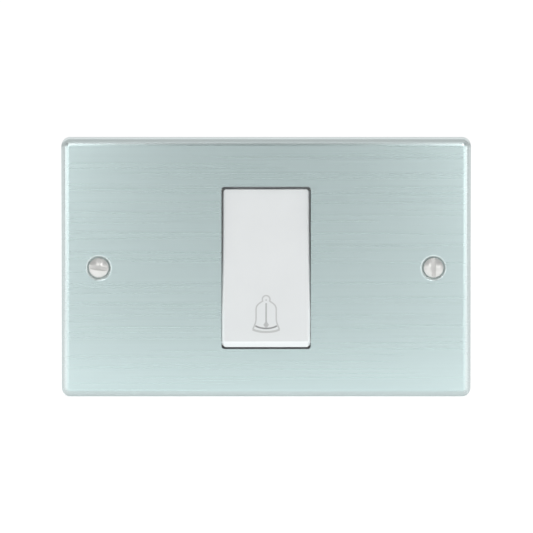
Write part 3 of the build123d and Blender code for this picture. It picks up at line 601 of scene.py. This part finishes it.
class GeometryTree(NodeWriter):
    """A Geometry Nodes tree with named inputs, which ends in Realize Instances and Set Material."""

    def __init__(self, name: str, inputs: dict[str, str]) -> None:
        """Starts the tree.

        Args:
            name: The tree's name.
            inputs: Socket kind by input name, after the geometry and the finish.
        """
        super().__init__(bpy.data.node_groups.new(name, "GeometryNodeTree"))
        face = self.tree.interface
        for label, kind in {"Geometry": "Geometry", "Finish": "Material", **inputs}.items():
            face.new_socket(label, in_out="INPUT", socket_type="NodeSocket" + kind)
        face.new_socket("Geometry", in_out="OUTPUT", socket_type="NodeSocketGeometry")
        self.source = self.add("NodeGroupInput").outputs

    def get(self, kind: str, inputs: dict | None = None, **settings: object) -> Socket:
        """Returns the first output of a new node."""
        return self.add(kind, inputs, **settings).outputs[0]

    def sweep(self, path: Socket, section: Socket, **more: object) -> Socket:
        """Returns the solid that a section sweeps along a path, with closed ends."""
        inputs = {"Curve": path, "Profile Curve": section, "Fill Caps": True, **more}
        return self.get("GeometryNodeCurveToMesh", inputs)

    def close(self, geometry: Socket) -> None:
        """Ends the tree.

        Args:
            geometry: The finished geometry.
        """
        solid = self.get("GeometryNodeRealizeInstances", {"Geometry": geometry})
        paint = {"Geometry": solid, "Material": self.source["Finish"]}
        painted = self.get("GeometryNodeSetMaterial", paint)
        self.add("NodeGroupOutput", {"Geometry": painted})

    def close_aimed(self, geometry: Socket) -> None:
        """Ends the tree with the geometry turned to its aim and moved to its seat."""
        aimed = {"Geometry": geometry, "Translation": self.source["Seat"], "Rotation": self.source["Aim"]}
        self.close(self.get("GeometryNodeTransform", aimed))

    def grow(self, piece: Piece, values: dict[str, object], sharp: float) -> None:
        """Runs the tree on a piece and keeps the result as the piece's plain mesh.

        Args:
            piece: A mesh object at the origin.
            values: Input values by name.
            sharp: Edges that bend by more than this, in radians, stay crisp.
        """
        maker = piece.modifiers.new(self.tree.name, "NODES")
        maker.node_group = self.tree
        for item in self.tree.interface.items_tree:
            if item.in_out == "INPUT" and item.name in values:
                maker[item.identifier] = values[item.name]
        graph = bpy.context.evaluated_depsgraph_get()
        mesh = bpy.data.meshes.new_from_object(piece.evaluated_get(graph), depsgraph=graph)
        piece.modifiers.remove(maker)
        piece.data = mesh
        mesh.name = piece.name
        mesh.shade_smooth()
        mesh.set_sharp_from_angle(angle=sharp)


def new_piece(name: str, points: list[Triple], edges: list[Pair], faces: list[tuple]) -> Piece:
    """Makes a mesh object at the origin.

    Args:
        name: The piece's name.
        points: Its corners.
        edges: Its loose edges, as pairs of corner numbers.
        faces: Its faces, as lists of corner numbers.

    Returns:
        The object, in the scene.
    """
    mesh = bpy.data.meshes.new(name)
    mesh.from_pydata(points, edges, faces)
    piece = bpy.data.objects.new(name, mesh)
    bpy.context.scene.collection.objects.link(piece)
    return piece


def arc(centre: Pair, radius: float, start: float, end: float, steps: int) -> list[Pair]:
    """Returns points on an arc, with both ends, by angles in degrees."""
    angles = [math.radians(start + (end - start) * step / steps) for step in range(steps + 1)]
    return [(centre[0] + radius * math.cos(a), centre[1] + radius * math.sin(a)) for a in angles]


def bow(start: Pair, lead: Pair, trail: Pair, end: Pair, steps: int = 10) -> list[Pair]:
    """Sets points on a curve that leaves one point towards a lead and reaches another from a trail.

    Args:
        start: The first point.
        lead: The point that the curve sets out towards.
        trail: The point that the curve comes in from.
        end: The last point.
        steps: Number of steps.

    Returns:
        The points, with both ends.
    """
    points = []
    for step in range(steps + 1):
        t = step / steps
        weights = ((1 - t) ** 3, 3 * t * (1 - t) ** 2, 3 * t * t * (1 - t), t**3)
        corners = (start, lead, trail, end)
        points.append(tuple(sum(w * c[i] for w, c in zip(weights, corners)) for i in (0, 1)))
    return points


def sagging(end: Pair, drop: float) -> list[Pair]:
    """Sets points on a curve that sags from a point on the right to its twin on the left.

    Args:
        end: The point on the right.
        drop: How deep the curve sags.

    Returns:
        The points, with both ends.
    """
    x, z = end
    low = z - drop * LEAD_DEPTH
    return bow(end, (x / 2, low), (-x / 2, low), (-x, z))


class Head(Enum):
    """Shapes of a slotted screw's head."""

    RAISED = "raised countersunk"
    CHEESE = "cheese"


def screw_tree() -> GeometryTree:
    """Builds the tree that cuts the slot, rolls the thread and sets out the screws.

    Returns:
        The tree; it starts from one turned body along Z, with its head at the origin.
    """
    measures = ("First Turn", "Turn Step", "Thread Start", "Thread Length", "Core Radius", "Ridge", "Pitch")
    inputs = {name: "Float" for name in measures}
    inputs |= {"Count": "Int", "Step": "Vector", "Aim": "Rotation", "Seat": "Vector", "Slot Size": "Vector"}
    tree = GeometryTree("threaded screws", inputs)
    source = tree.source
    cutter = tree.get("GeometryNodeMeshCube", {"Size": source["Slot Size"]})
    bodies = {"Mesh 1": source["Geometry"], "Mesh 2": cutter}
    cut = tree.get("GeometryNodeMeshBoolean", bodies, solver="EXACT")
    spiral = {
        "Resolution": THREAD_STEPS,
        "Rotations": tree.math("DIVIDE", source["Thread Length"], source["Pitch"]),
        "Start Radius": source["Core Radius"],
        "End Radius": source["Core Radius"],
        "Height": source["Thread Length"],
    }
    path = tree.get("GeometryNodeCurveSpiral", spiral)
    upright = tree.get("GeometryNodeSetCurveNormal", {"Curve": path}, mode="Z_UP")
    section = {"Resolution": RIDGE_CORNERS, "Radius": source["Ridge"]}
    ridge = tree.sweep(upright, tree.get("GeometryNodeCurvePrimitiveCircle", section))
    lift = tree.get("ShaderNodeCombineXYZ", {"Z": source["Thread Start"]})
    rolled = tree.get("GeometryNodeTransform", {"Geometry": ridge, "Translation": lift})
    welded = tree.get("GeometryNodeMergeByDistance", {"Geometry": cut, "Distance": WELD})
    whole = tree.add("GeometryNodeJoinGeometry")
    for part in (rolled, welded):
        tree.tree.links.new(part, whole.inputs[0])
    place = tree.get("GeometryNodeInputPosition")
    flat = tree.vector_math("MULTIPLY", {0: place, 1: WITHOUT_Z})[0]
    radius = tree.vector_math("LENGTH", {0: flat})["Value"]
    marked = {"Geometry": whole.outputs[0], "Name": TURN_RADIUS, "Value": radius}
    screw = tree.get("GeometryNodeStoreNamedAttribute", marked, data_type="FLOAT", domain="POINT")
    row = tree.get("GeometryNodeMeshLine", {"Count": source["Count"], "Offset": source["Step"]})
    more = tree.math("MULTIPLY", tree.get("GeometryNodeInputIndex"), source["Turn Step"])
    turn = tree.get("ShaderNodeCombineXYZ", {"Z": tree.math("ADD", more, source["First Turn"])})
    spin = tree.get("FunctionNodeEulerToRotation", {0: turn})
    set_out = {"Points": row, "Instance": screw, "Rotation": spin}
    tree.close_aimed(tree.get("GeometryNodeInstanceOnPoints", set_out))
    return tree


@dataclass
class ScrewSet:
    """Slotted screws of one size: turned bodies with cut slots and rolled threads."""

    node: str
    finish: TurnedMetal
    material_slot: str
    head: Head
    head_height: float
    aim: Triple
    first_turn: float
    turn_step: float = 0.0
    thread_radius: float = 1.75 * MM
    pitch: float = 0.6 * MM
    slot_width: float = 1.2 * MM
    slot_depth: float = 1.0 * MM
    neck_length: float = 0.0
    head_land: float = 0.0
    point: float = 0.6 * MM
    ridge_share: float = 0.52
    rounding: float = 0.25
    lathe_steps: int = 96
    crown_steps: int = 14
    corner_steps: int = 6

    @property
    def ridge(self) -> float:
        """Height of the thread's ridge over its core."""
        return self.pitch * self.ridge_share

    @property
    def core_radius(self) -> float:
        """Radius between the thread's ridges."""
        return self.thread_radius - self.ridge

    @property
    def turned_frame(self) -> Matrix:
        """Rotation that aims the screw, as a matrix."""
        return Euler(self.aim).to_matrix()

    def layout(self) -> tuple[float, float, Triple, Triple, int]:
        """Reads the head's radius, length, seat, step and number of screws from the frame.

        Returns:
            Head radius, length, seat of the first screw's head, step to the next screw, and count.
        """
        low, high = (Vector(corner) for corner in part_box(self.node))
        size = high - low
        to_tip = self.turned_frame @ Vector((0, 0, 1))
        along = [round(part) != 0 for part in to_tip]
        length = next(size[i] for i in range(3) if along[i])
        radius = min(size[i] for i in range(3) if not along[i]) / 2
        seat = [low[i] + radius for i in range(3)]
        step = [0.0, 0.0, 0.0]
        count = 1
        for i in range(3):
            if along[i]:
                seat[i] = low[i] if to_tip[i] > 0 else high[i]
            elif size[i] > 4 * radius:
                # A box longer than two heads holds a second screw at its far end
                step[i] = size[i] - 2 * radius
                count = 2
        return radius, length, tuple(seat), tuple(step), count

    def profile(self, radius: float, length: float) -> list[Pair]:
        """Draws the half section of the turned body, from the head's middle to the tip's middle.

        Args:
            radius: The head's radius.
            length: The whole length.

        Returns:
            Pairs of radius and depth below the head's top.
        """
        neck = self.core_radius + self.ridge * (1 - self.ridge_share)
        if self.head is Head.RAISED:
            ball = (radius**2 + self.head_height**2) / (2 * self.head_height)
            half_angle = math.degrees(math.asin(radius / ball))
            outline = arc((0.0, ball), ball, -90.0, half_angle - 90.0, self.crown_steps)
            seat = self.head_height + self.head_land
            outline += [(radius, seat), (neck, seat + radius - neck)]
        else:
            corner = self.rounding * self.head_height
            outline = [(0.0, 0.0)]
            outline += arc((radius - corner, corner), corner, -90.0, 0.0, self.corner_steps)
            outline += [(radius, self.head_height), (neck, self.head_height)]
        thread_start = self.head_height + self.neck_length
        outline += [(neck, thread_start), (self.core_radius, thread_start)]
        outline += [(self.core_radius, length - self.point), (self.core_radius - self.point, length)]
        outline.append((0.0, length))
        return outline

    def turned_body(self, radius: float, length: float) -> Piece:
        """Turns the half section round Z.

        Args:
            radius: The head's radius.
            length: The whole length.

        Returns:
            The body of one screw, closed.
        """
        points = []
        rings = []
        for reach, depth in self.profile(radius, length):
            count = self.lathe_steps if reach > POLE else 1
            rings.append(range(len(points), len(points) + count))
            for step in range(count):
                angle = 2 * math.pi * step / self.lathe_steps
                points.append((reach * math.cos(angle), reach * math.sin(angle), depth))
        faces = []
        for upper, lower in zip(rings, rings[1:]):
            for step in range(self.lathe_steps):
                after = (step + 1) % self.lathe_steps
                corners = [upper[step % len(upper)], upper[after % len(upper)]]
                corners += [lower[after % len(lower)], lower[step % len(lower)]]
                faces.append(tuple(dict.fromkeys(corners)))
        return new_piece(self.node + "_threaded", points, [], faces)

    def build(self, tree: GeometryTree) -> None:
        """Builds the screws in the place of the frame's node.

        Args:
            tree: The tree that cuts, threads and sets out screws.
        """
        radius, length, seat, step, count = self.layout()
        thread_start = self.head_height + self.neck_length + self.ridge
        values = {
            "Finish": self.finish.material(),
            "Count": count,
            "Step": self.turned_frame.inverted() @ Vector(step),
            "First Turn": math.radians(self.first_turn),
            "Turn Step": math.radians(self.turn_step),
            "Aim": self.aim,
            "Seat": seat,
            # The cutter reaches past the head at both sides, and half of it stands above the top
            "Slot Size": (4 * radius, self.slot_width, 2 * self.slot_depth),
            "Thread Start": thread_start,
            "Thread Length": length - self.point - self.ridge - thread_start,
            "Core Radius": self.core_radius,
            "Ridge": self.ridge,
            "Pitch": self.pitch,
        }
        piece = self.turned_body(radius, length)
        tree.grow(piece, values, SCREW_CREASE)
        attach(piece, "base")
        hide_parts(self.node)
        LOG.info("built %s", piece.name)


def spring_tree() -> GeometryTree:
    """Builds the tree that winds a coil spring with closed end turns along Y.

    Returns:
        The tree; the coil starts at the seat and runs to its length.
    """
    measures = ("Mean Radius", "Wire Radius", "Length", "Turns", "End Turns")
    inputs = {name: "Float" for name in measures}
    tree = GeometryTree("coil spring", inputs | {"Seat": "Vector", "Aim": "Rotation"})
    source = tree.source
    steps = tree.math("MULTIPLY", source["Turns"], COIL_STEPS)
    line = tree.get("GeometryNodeCurvePrimitiveLine")
    wire = tree.get("GeometryNodeResampleCurve", {"Curve": line, "Count": steps})
    along = tree.add("GeometryNodeSplineParameter").outputs["Factor"]
    angle = tree.math("MULTIPLY", tree.math("MULTIPLY", along, source["Turns"]), 2 * math.pi)
    dead_share = tree.math("DIVIDE", source["End Turns"], source["Turns"])
    wire_size = tree.math("MULTIPLY", source["Wire Radius"], 2.0)
    dead_rise = tree.math("MULTIPLY", source["End Turns"], wire_size)
    both_ends = tree.math("ADD", wire_size, tree.math("MULTIPLY", dead_rise, 2.0))
    live_rise = tree.math("SUBTRACT", source["Length"], both_ends)
    far_share = tree.math("SUBTRACT", 1.0, dead_share)
    spans = ((0.0, dead_share, dead_rise), (dead_share, far_share, live_rise), (far_share, 1.0, dead_rise))
    height = source["Wire Radius"]
    for start, end, rise in spans:
        span = {"Value": along, "From Min": start, "From Max": end, "To Min": 0.0, "To Max": rise}
        height = tree.math("ADD", height, tree.get("ShaderNodeMapRange", span))
    turn = {
        "X": tree.math("MULTIPLY", tree.math("COSINE", angle), source["Mean Radius"]),
        "Y": height,
        "Z": tree.math("MULTIPLY", tree.math("SINE", angle), source["Mean Radius"]),
    }
    place = tree.get("ShaderNodeCombineXYZ", turn)
    coil = tree.get("GeometryNodeSetPosition", {"Geometry": wire, "Position": place})
    section = {"Resolution": WIRE_CORNERS, "Radius": source["Wire Radius"]}
    tree.close_aimed(tree.sweep(coil, tree.get("GeometryNodeCurvePrimitiveCircle", section)))
    return tree


@dataclass
class CoilSpring:
    """A coil spring, wound at its given length; it names the joint it shortens with, but nothing here makes
    it move.
    """

    node: str
    body: str
    joint: str
    diameter: float
    wire: float
    length: float
    turns: float
    seat: Triple
    aim: Triple
    still_end: Triple
    kept: float
    end_turns: float = 1.0

    def build(self, tree: GeometryTree) -> None:
        """Winds the spring in the place of the frame's node.

        Args:
            tree: The tree that winds springs.
        """
        values = {
            "Finish": SPRING_STEEL.material(),
            "Mean Radius": (self.diameter - self.wire) / 2,
            "Wire Radius": self.wire / 2,
            "Length": self.length,
            "Turns": self.turns,
            "End Turns": self.end_turns,
            "Seat": self.seat,
            "Aim": self.aim,
        }
        piece = new_piece(self.node + "_wound", [], [], [])
        tree.grow(piece, values, WIRE_CREASE)
        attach(piece, self.body)
        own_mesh(piece)
        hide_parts(self.node)
        LOG.info("wound %s", piece.name)


def sign_tree() -> GeometryTree:
    """Builds the tree that inks flat strokes and lays them on a face.

    Returns:
        The tree; the strokes come as loose edges in XY, and Y stands up as Z.
    """
    tree = GeometryTree("printed sign", {"Face": "Object", "Film": "Float", "Start Y": "Float"})
    source = tree.source
    strokes = tree.get("GeometryNodeMeshToCurve", {"Mesh": source["Geometry"]})
    level = tree.get("GeometryNodeSetCurveNormal", {"Curve": strokes}, mode="Z_UP")
    section = {"Width": 1.0, "Height": RIBBON_HEIGHT}
    section = tree.get("GeometryNodeCurvePrimitiveQuadrilateral", section)
    width = tree.get("GeometryNodeInputNamedAttribute", {"Name": LINE_WIDTH}, data_type="FLOAT")
    ribbon = tree.sweep(level, section, Scale=width)
    place = tree.add("ShaderNodeSeparateXYZ", {0: tree.get("GeometryNodeInputPosition")}).outputs
    above = {"X": place["X"], "Y": source["Start Y"], "Z": place["Y"]}
    face = tree.add("GeometryNodeObjectInfo", {"Object": source["Face"]}).outputs["Geometry"]
    ray = {
        "Target Geometry": face,
        "Source Position": tree.get("ShaderNodeCombineXYZ", above),
        "Ray Direction": INWARDS,
        "Ray Length": PRINT_REACH,
    }
    hit = tree.add("GeometryNodeRaycast", ray).outputs["Hit Position"]
    hit_y = tree.add("ShaderNodeSeparateXYZ", {0: hit}).outputs["Y"]
    film = tree.math("MULTIPLY", tree.math("SIGN", place["Z"]), source["Film"])
    laid = {"X": place["X"], "Y": tree.math("SUBTRACT", hit_y, film), "Z": place["Y"]}
    down = tree.get("ShaderNodeCombineXYZ", laid)
    tree.close(tree.get("GeometryNodeSetPosition", {"Geometry": ribbon, "Position": down}))
    return tree


@dataclass
class BellSign:
    """The bell sign printed on the rocker's lower half, in lines."""

    middle_z: float = -13.4 * MM
    loop_z: float = 4.36 * MM
    loop_radius: float = 1.1 * MM
    loop_steps: int = 24
    neck: Pair = (1.0 * MM, 3.86 * MM)
    neck_lead: Pair = (0.7 * MM, -0.45 * MM)
    shoulder: Pair = (2.9 * MM, 1.55 * MM)
    shoulder_lead: Pair = (0.0, 1.3 * MM)
    waist: Pair = (2.9 * MM, -1.15 * MM)
    waist_lead: Pair = (0.0, -1.2 * MM)
    foot: Pair = (3.85 * MM, -4.25 * MM)
    foot_lead: Pair = (-0.4 * MM, 1.0 * MM)
    rim_drop: float = 0.72 * MM
    mouth: Pair = (3.1 * MM, -3.2 * MM)
    mouth_drop: float = 0.75 * MM
    stem_top: float = 3.3 * MM
    clapper_z: float = -2.92 * MM
    clapper_half: Pair = (0.62 * MM, 0.78 * MM)
    fine_line: float = 0.40 * MM
    bold_line: float = 0.46 * MM
    rim_line: float = 0.60 * MM
    stem_ink: float = 0.3
    clapper_ink: float = 0.2
    film: float = 0.015 * MM

    def outline(self) -> list[Pair]:
        """Draws the bell's outline in one line.

        Returns:
            Points of the right half from the foot up, of the loop, and of the left half down.
        """
        half = []
        for start, lead, end, trail in (
            (self.foot, self.foot_lead, self.waist, self.waist_lead),
            (self.shoulder, self.shoulder_lead, self.neck, self.neck_lead),
        ):
            half += bow(start, tuple(map(sum, zip(start, lead))), tuple(map(sum, zip(end, trail))), end)
        first = math.degrees(math.atan2(self.neck[1] - self.loop_z, self.neck[0]))
        loop = arc((0.0, self.loop_z), self.loop_radius, first, 180.0 - first, self.loop_steps)
        return half + loop + [(-x, z) for x, z in reversed(half)]

    def strokes(self) -> list[tuple[list[Pair], float, float]]:
        """Lists the sign's strokes about its middle.

        Returns:
            Points, line width and weight of ink of each stroke.
        """
        half_x, half_z = self.clapper_half
        stem = [(0.0, self.stem_top), (0.0, self.clapper_z + half_z)]
        corners = [(0.0, half_z), (half_x, 0.0), (0.0, -half_z), (-half_x, 0.0), (0.0, half_z)]
        clapper = [(x, z + self.clapper_z) for x, z in corners]
        core = [(0.0, self.clapper_z + half_z / 2), (0.0, self.clapper_z - half_z / 2)]
        eye = [(0.0, self.loop_z - self.fine_line), (0.0, self.loop_z)]
        return [
            (self.outline(), self.fine_line, 0.0),
            (eye, self.fine_line, 0.0),
            (sagging(self.foot, self.rim_drop), self.rim_line, 0.0),
            (clapper, self.fine_line, self.clapper_ink),
            (core, self.rim_line, self.clapper_ink),
            (sagging(self.mouth, self.mouth_drop), self.bold_line, 1.0),
            (stem, self.bold_line, self.stem_ink),
        ]

    def build(self) -> None:
        """Prints the sign on the rocker."""
        points, edges, widths, inks = [], [], [], []
        for line, width, ink in self.strokes():
            start = len(points)
            points += [(x, z + self.middle_z, 0.0) for x, z in line]
            edges += [(i, i + 1) for i in range(start, len(points) - 1)]
            widths += [width] * len(line)
            inks += [ink] * len(line)
        piece = new_piece("bell_sign", points, edges, [])
        for name, marks in ((LINE_WIDTH, widths), (INK_WEIGHT, inks)):
            piece.data.attributes.new(name, "FLOAT", "POINT").data.foreach_set("value", marks)
        values = {
            "Finish": SIGN_INK.material(),
            "Face": frame["nodes"]["rocker"],
            "Film": self.film,
            # Well in front of the rocker
            "Start Y": 2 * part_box("rocker")[0][1],
        }
        sign_tree().grow(piece, values, PRINT_CREASE)
        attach(piece, "rocker")
        LOG.info("printed %s", piece.name)


@dataclass
class FrontPlate:
    """The brushed plate and the two screws that hold it to the wall box."""

    screws: ScrewSet = field(
        default_factory=lambda: ScrewSet(
            node="fixing_screws",
            finish=BRIGHT_NICKEL,
            material_slot="nickel_screw",
            head=Head.RAISED,
            head_height=1.1 * MM,
            neck_length=4.65 * MM,
            aim=(math.radians(-90), 0.0, 0.0),
            first_turn=8.0,
            turn_step=-100.0,
            head_land=0.4 * MM,
        )
    )

    def build(self, tree: GeometryTree) -> None:
        """Dresses the plate and builds its screws.

        Args:
            tree: The tree that makes screws.
        """
        dress("cover_plate", BRUSHED_STAINLESS)
        dress("screw_retainers", RED_FIBRE)
        self.screws.build(tree)


@dataclass
class YokeGroup:
    """The steel yoke with its earth screw."""

    earth: ScrewSet = field(
        default_factory=lambda: ScrewSet(
            node="earth_screw",
            finish=EARTH_BRASS,
            material_slot="earth_brass",
            head=Head.CHEESE,
            head_height=2.2 * MM,
            aim=(0.0, math.radians(-90), 0.0),
            first_turn=25.0,
        )
    )

    def build(self, tree: GeometryTree) -> None:
        """Dresses the yoke and builds its earth screw.

        Args:
            tree: The tree that makes screws.
        """
        dress("yoke", ZINC_PLATE)
        dress("earth_washer", EARTH_BRASS)
        self.earth.build(tree)


@dataclass
class SwitchModule:
    """The moulded switch: housing, frame, contacts, terminals and springs."""

    clamps: ScrewSet = field(
        default_factory=lambda: ScrewSet(
            node="terminal_screws",
            finish=ZINC_SCREW,
            material_slot="terminal_screw",
            head=Head.CHEESE,
            head_height=1.8 * MM,
            thread_radius=1.5 * MM,
            pitch=0.5 * MM,
            slot_width=0.9 * MM,
            slot_depth=0.9 * MM,
            aim=(math.radians(90), 0.0, 0.0),
            first_turn=20.0,
            turn_step=55.0,
        )
    )
    bore_end: float = 3.0 * MM

    def build(self, screws: GeometryTree, springs: GeometryTree) -> None:
        """Dresses the switch and builds its screws and springs.

        Args:
            screws: The tree that makes screws.
            springs: The tree that winds springs.
        """
        dress("module_housing", HOUSING_PLASTIC)
        # The frame's near black colour is painted shade for the gap round the rocker
        dress("retaining_frame", SHADE_DARK_FRAME_PLASTIC)
        dress("plunger", NYLON)
        dress("contact_blade", BRONZE)
        dress("moving_contact_tip", CONTACT_SILVER)
        dress("fixed_contact_tip", CONTACT_SILVER)
        dress("switched_terminal", TERMINAL_BRASS)
        dress("common_terminal", TERMINAL_BRASS)
        self.clamps.build(screws)
        self.return_spring().build(springs)
        self.plunger_spring().build(springs)

    def return_spring(self) -> CoilSpring:
        """Sizes the spring under the rocker's lower end from its node's box.

        Returns:
            The spring.
        """
        low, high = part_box("return_spring")
        middle_z = (low[2] + high[2]) / 2
        return CoilSpring(
            node="return_spring",
            body="base",
            joint="rocker_press",
            diameter=high[0] - low[0],
            wire=0.6 * MM,
            length=high[1] - low[1],
            turns=6.0,
            seat=(0.0, low[1], middle_z),
            aim=(0.0, 0.0, 0.0),
            still_end=(0.0, high[1], middle_z),
            kept=0.77,
        )

    def plunger_spring(self) -> CoilSpring:
        """Sizes the spring in the rocker's tower, on the plunger's own slope.

        Returns:
            The spring.
        """
        joints = frame["record"]["behaviour"]["joints"]
        slide = next(joint for joint in joints if joint["name"] == "plunger_slide")
        back = [-part for part in slide["axis"]]
        start = tuple(-self.bore_end * part for part in back)
        low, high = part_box("plunger_spring")
        return CoilSpring(
            node="plunger_spring",
            body="rocker",
            joint="plunger_slide",
            diameter=high[0] - low[0],
            wire=0.35 * MM,
            length=3.8 * MM,
            turns=5.0,
            seat=start,
            aim=(math.atan2(back[2], back[1]), 0.0, 0.0),
            still_end=start,
            kept=0.895,
        )


@dataclass
class Rocker:
    """The white press rocker with its sign."""

    sign: BellSign = field(default_factory=BellSign)

    def build(self) -> None:
        """Dresses the rocker and prints its sign."""
        dress("rocker", ROCKER_PLASTIC)
        self.sign.build()


@dataclass
class SoftBox:
    """A soft studio light that looks at the push."""

    name: str
    place: Triple
    size: Pair
    radiance: float

    def build(self) -> None:
        """Sets the light up."""
        width, height = self.size
        lamp = bpy.data.lights.new(self.name, "AREA")
        lamp.shape = "RECTANGLE"
        lamp.size = width
        lamp.size_y = height
        lamp.energy = self.radiance * math.pi * width * height
        holder = bpy.data.objects.new(self.name, lamp)
        holder.location = self.place
        holder.rotation_euler = (-Vector(self.place)).to_track_quat("-Z", "Y").to_euler()
        holder.visible_camera = False
        bpy.context.scene.collection.objects.link(holder)


def both_sides(name: str, place: Triple, size: Pair, radiance: float) -> tuple[SoftBox, SoftBox]:
    """Returns a soft box on the left and its twin on the right, whose place is given."""
    left = (-place[0], *place[1:])
    return SoftBox("left " + name, left, size, radiance), SoftBox("right " + name, place, size, radiance)


@dataclass
class Studio:
    """Pale floor, white surroundings that fall off behind the camera, soft boxes and the camera."""

    elevation: float = 5.0
    distance: float = 2.5
    view_width: float = 153.9 * MM
    sensor: float = 36.0
    plate_middle: Pair = (266.14, 265.83)
    floor_size: float = 12.0
    floor_white: float = 0.8
    floor_roughness: float = 0.9
    shown_glow: float = 0.55
    floor_glow: float = 0.66
    floor_levels: Levels = (
        (-0.3, 0.0), (-0.2, 0.25), (-0.1, 0.25), (-0.07, 1.0), (-0.0125, 1.0), (-0.0095, 0.56), (0.1, 0.56),
    )
    shown_room: float = 1.0
    room: float = 0.68
    room_levels: Levels = ((-1.0, 1.0), (0.1, 0.95), (0.5, 0.8), (0.82, 0.68), (0.985, 0.06), (1.0, 0.06))
    boxes: tuple[SoftBox, ...] = (
        *both_sides("band", (0.2, -0.22, 0.02), (0.24, 0.10), 1.1),
        *both_sides("low strip", (0.11, -0.34, 0.08), (0.06, 0.22), 0.9),
        *both_sides("high strip", (0.095, -0.36, 0.16), (0.05, 0.20), 3.6),
        SoftBox("front bar", (0.0, -1.6, 0.12), (0.5, 0.13), 0.9),
        SoftBox("high box", (0.0, -0.5, 0.75), (0.9, 0.3), 0.36),
        SoftBox("rim box", (0.0, 0.6, 0.5), (1.6, 0.6), 0.45),
    )

    def build(self) -> None:
        """Builds the whole studio."""
        self.build_floor()
        self.build_world()
        for box in self.boxes:
            box.build()
        self.build_camera()
        bpy.context.scene.view_settings.view_transform = "Standard"

    def build_floor(self) -> None:
        """Lays a pale floor under the push."""
        half = self.floor_size / 2
        level = CAD_BOX[0][2]
        corners = [(-half, -half, level), (half, -half, level), (half, half, level), (-half, half, level)]
        floor = new_piece("floor", corners, [], [(0, 1, 2, 3)])
        paint = bpy.data.materials.new("pale floor")
        paint.use_nodes = True
        writer = ShaderWriter(paint.node_tree)
        place = writer.add("ShaderNodeTexCoord").outputs["Object"]
        depth = writer.add("ShaderNodeSeparateXYZ", {0: place}).outputs["Y"]
        glow = writer.math("MULTIPLY", writer.graded(depth, self.floor_levels), self.floor_glow)
        coat = {
            "Base Color": scaled((1.0, 1.0, 1.0), self.floor_white),
            "Roughness": self.floor_roughness,
            "Specular IOR Level": 0.0,
            "Emission Color": WHITE,
            "Emission Strength": writer.for_camera(glow, self.shown_glow),
        }
        writer.fill(paint.node_tree.nodes["Principled BSDF"], coat)
        floor.data.materials.append(paint)

    def build_world(self) -> None:
        """Makes a white room with a dim side behind the camera."""
        world = bpy.data.worlds.new("studio")
        world.use_nodes = True
        world.node_tree.nodes.clear()
        writer = ShaderWriter(world.node_tree)
        way = writer.add("ShaderNodeTexCoord").outputs["Generated"]
        facing = writer.vector_math("DOT_PRODUCT", {0: way, 1: FRONT})["Value"]
        level = writer.math("MULTIPLY", writer.graded(facing, self.room_levels), self.room)
        light = {"Color": WHITE, "Strength": writer.for_camera(level, self.shown_room)}
        sky = writer.add("ShaderNodeBackground", light)
        writer.add("ShaderNodeOutputWorld", {"Surface": sky.outputs[0]})
        bpy.context.scene.world = world

    def build_camera(self) -> None:
        """Sets the camera up in front of the push, a little above it."""
        pixel = self.view_width / IMAGE_PIXELS
        middle = IMAGE_PIXELS / 2
        right = (middle - self.plate_middle[0]) * pixel
        down = (middle - self.plate_middle[1]) * pixel
        slope = math.radians(self.elevation)
        aim = Vector((right, 0.0, -down))
        lens = bpy.data.cameras.new("camera")
        lens.sensor_width = self.sensor
        lens.lens = self.sensor * self.distance / self.view_width
        lens.clip_end = 4 * self.floor_size
        holder = bpy.data.objects.new("camera", lens)
        holder.location = aim + self.distance * Vector((0.0, -math.cos(slope), math.sin(slope)))
        holder.rotation_euler = (math.radians(90) - slope, 0.0, 0.0)
        bpy.context.scene.collection.objects.link(holder)
        bpy.context.scene.camera = holder


def main() -> None:
    """Builds the push's sub-assemblies in order, then the studio."""
    logging.basicConfig(level=logging.INFO, format="%(message)s")
    screws = screw_tree()
    springs = spring_tree()
    FrontPlate().build(screws)
    YokeGroup().build(screws)
    SwitchModule().build(screws, springs)
    Rocker().build()
    Studio().build()


if __name__ == "__main__":
    main()
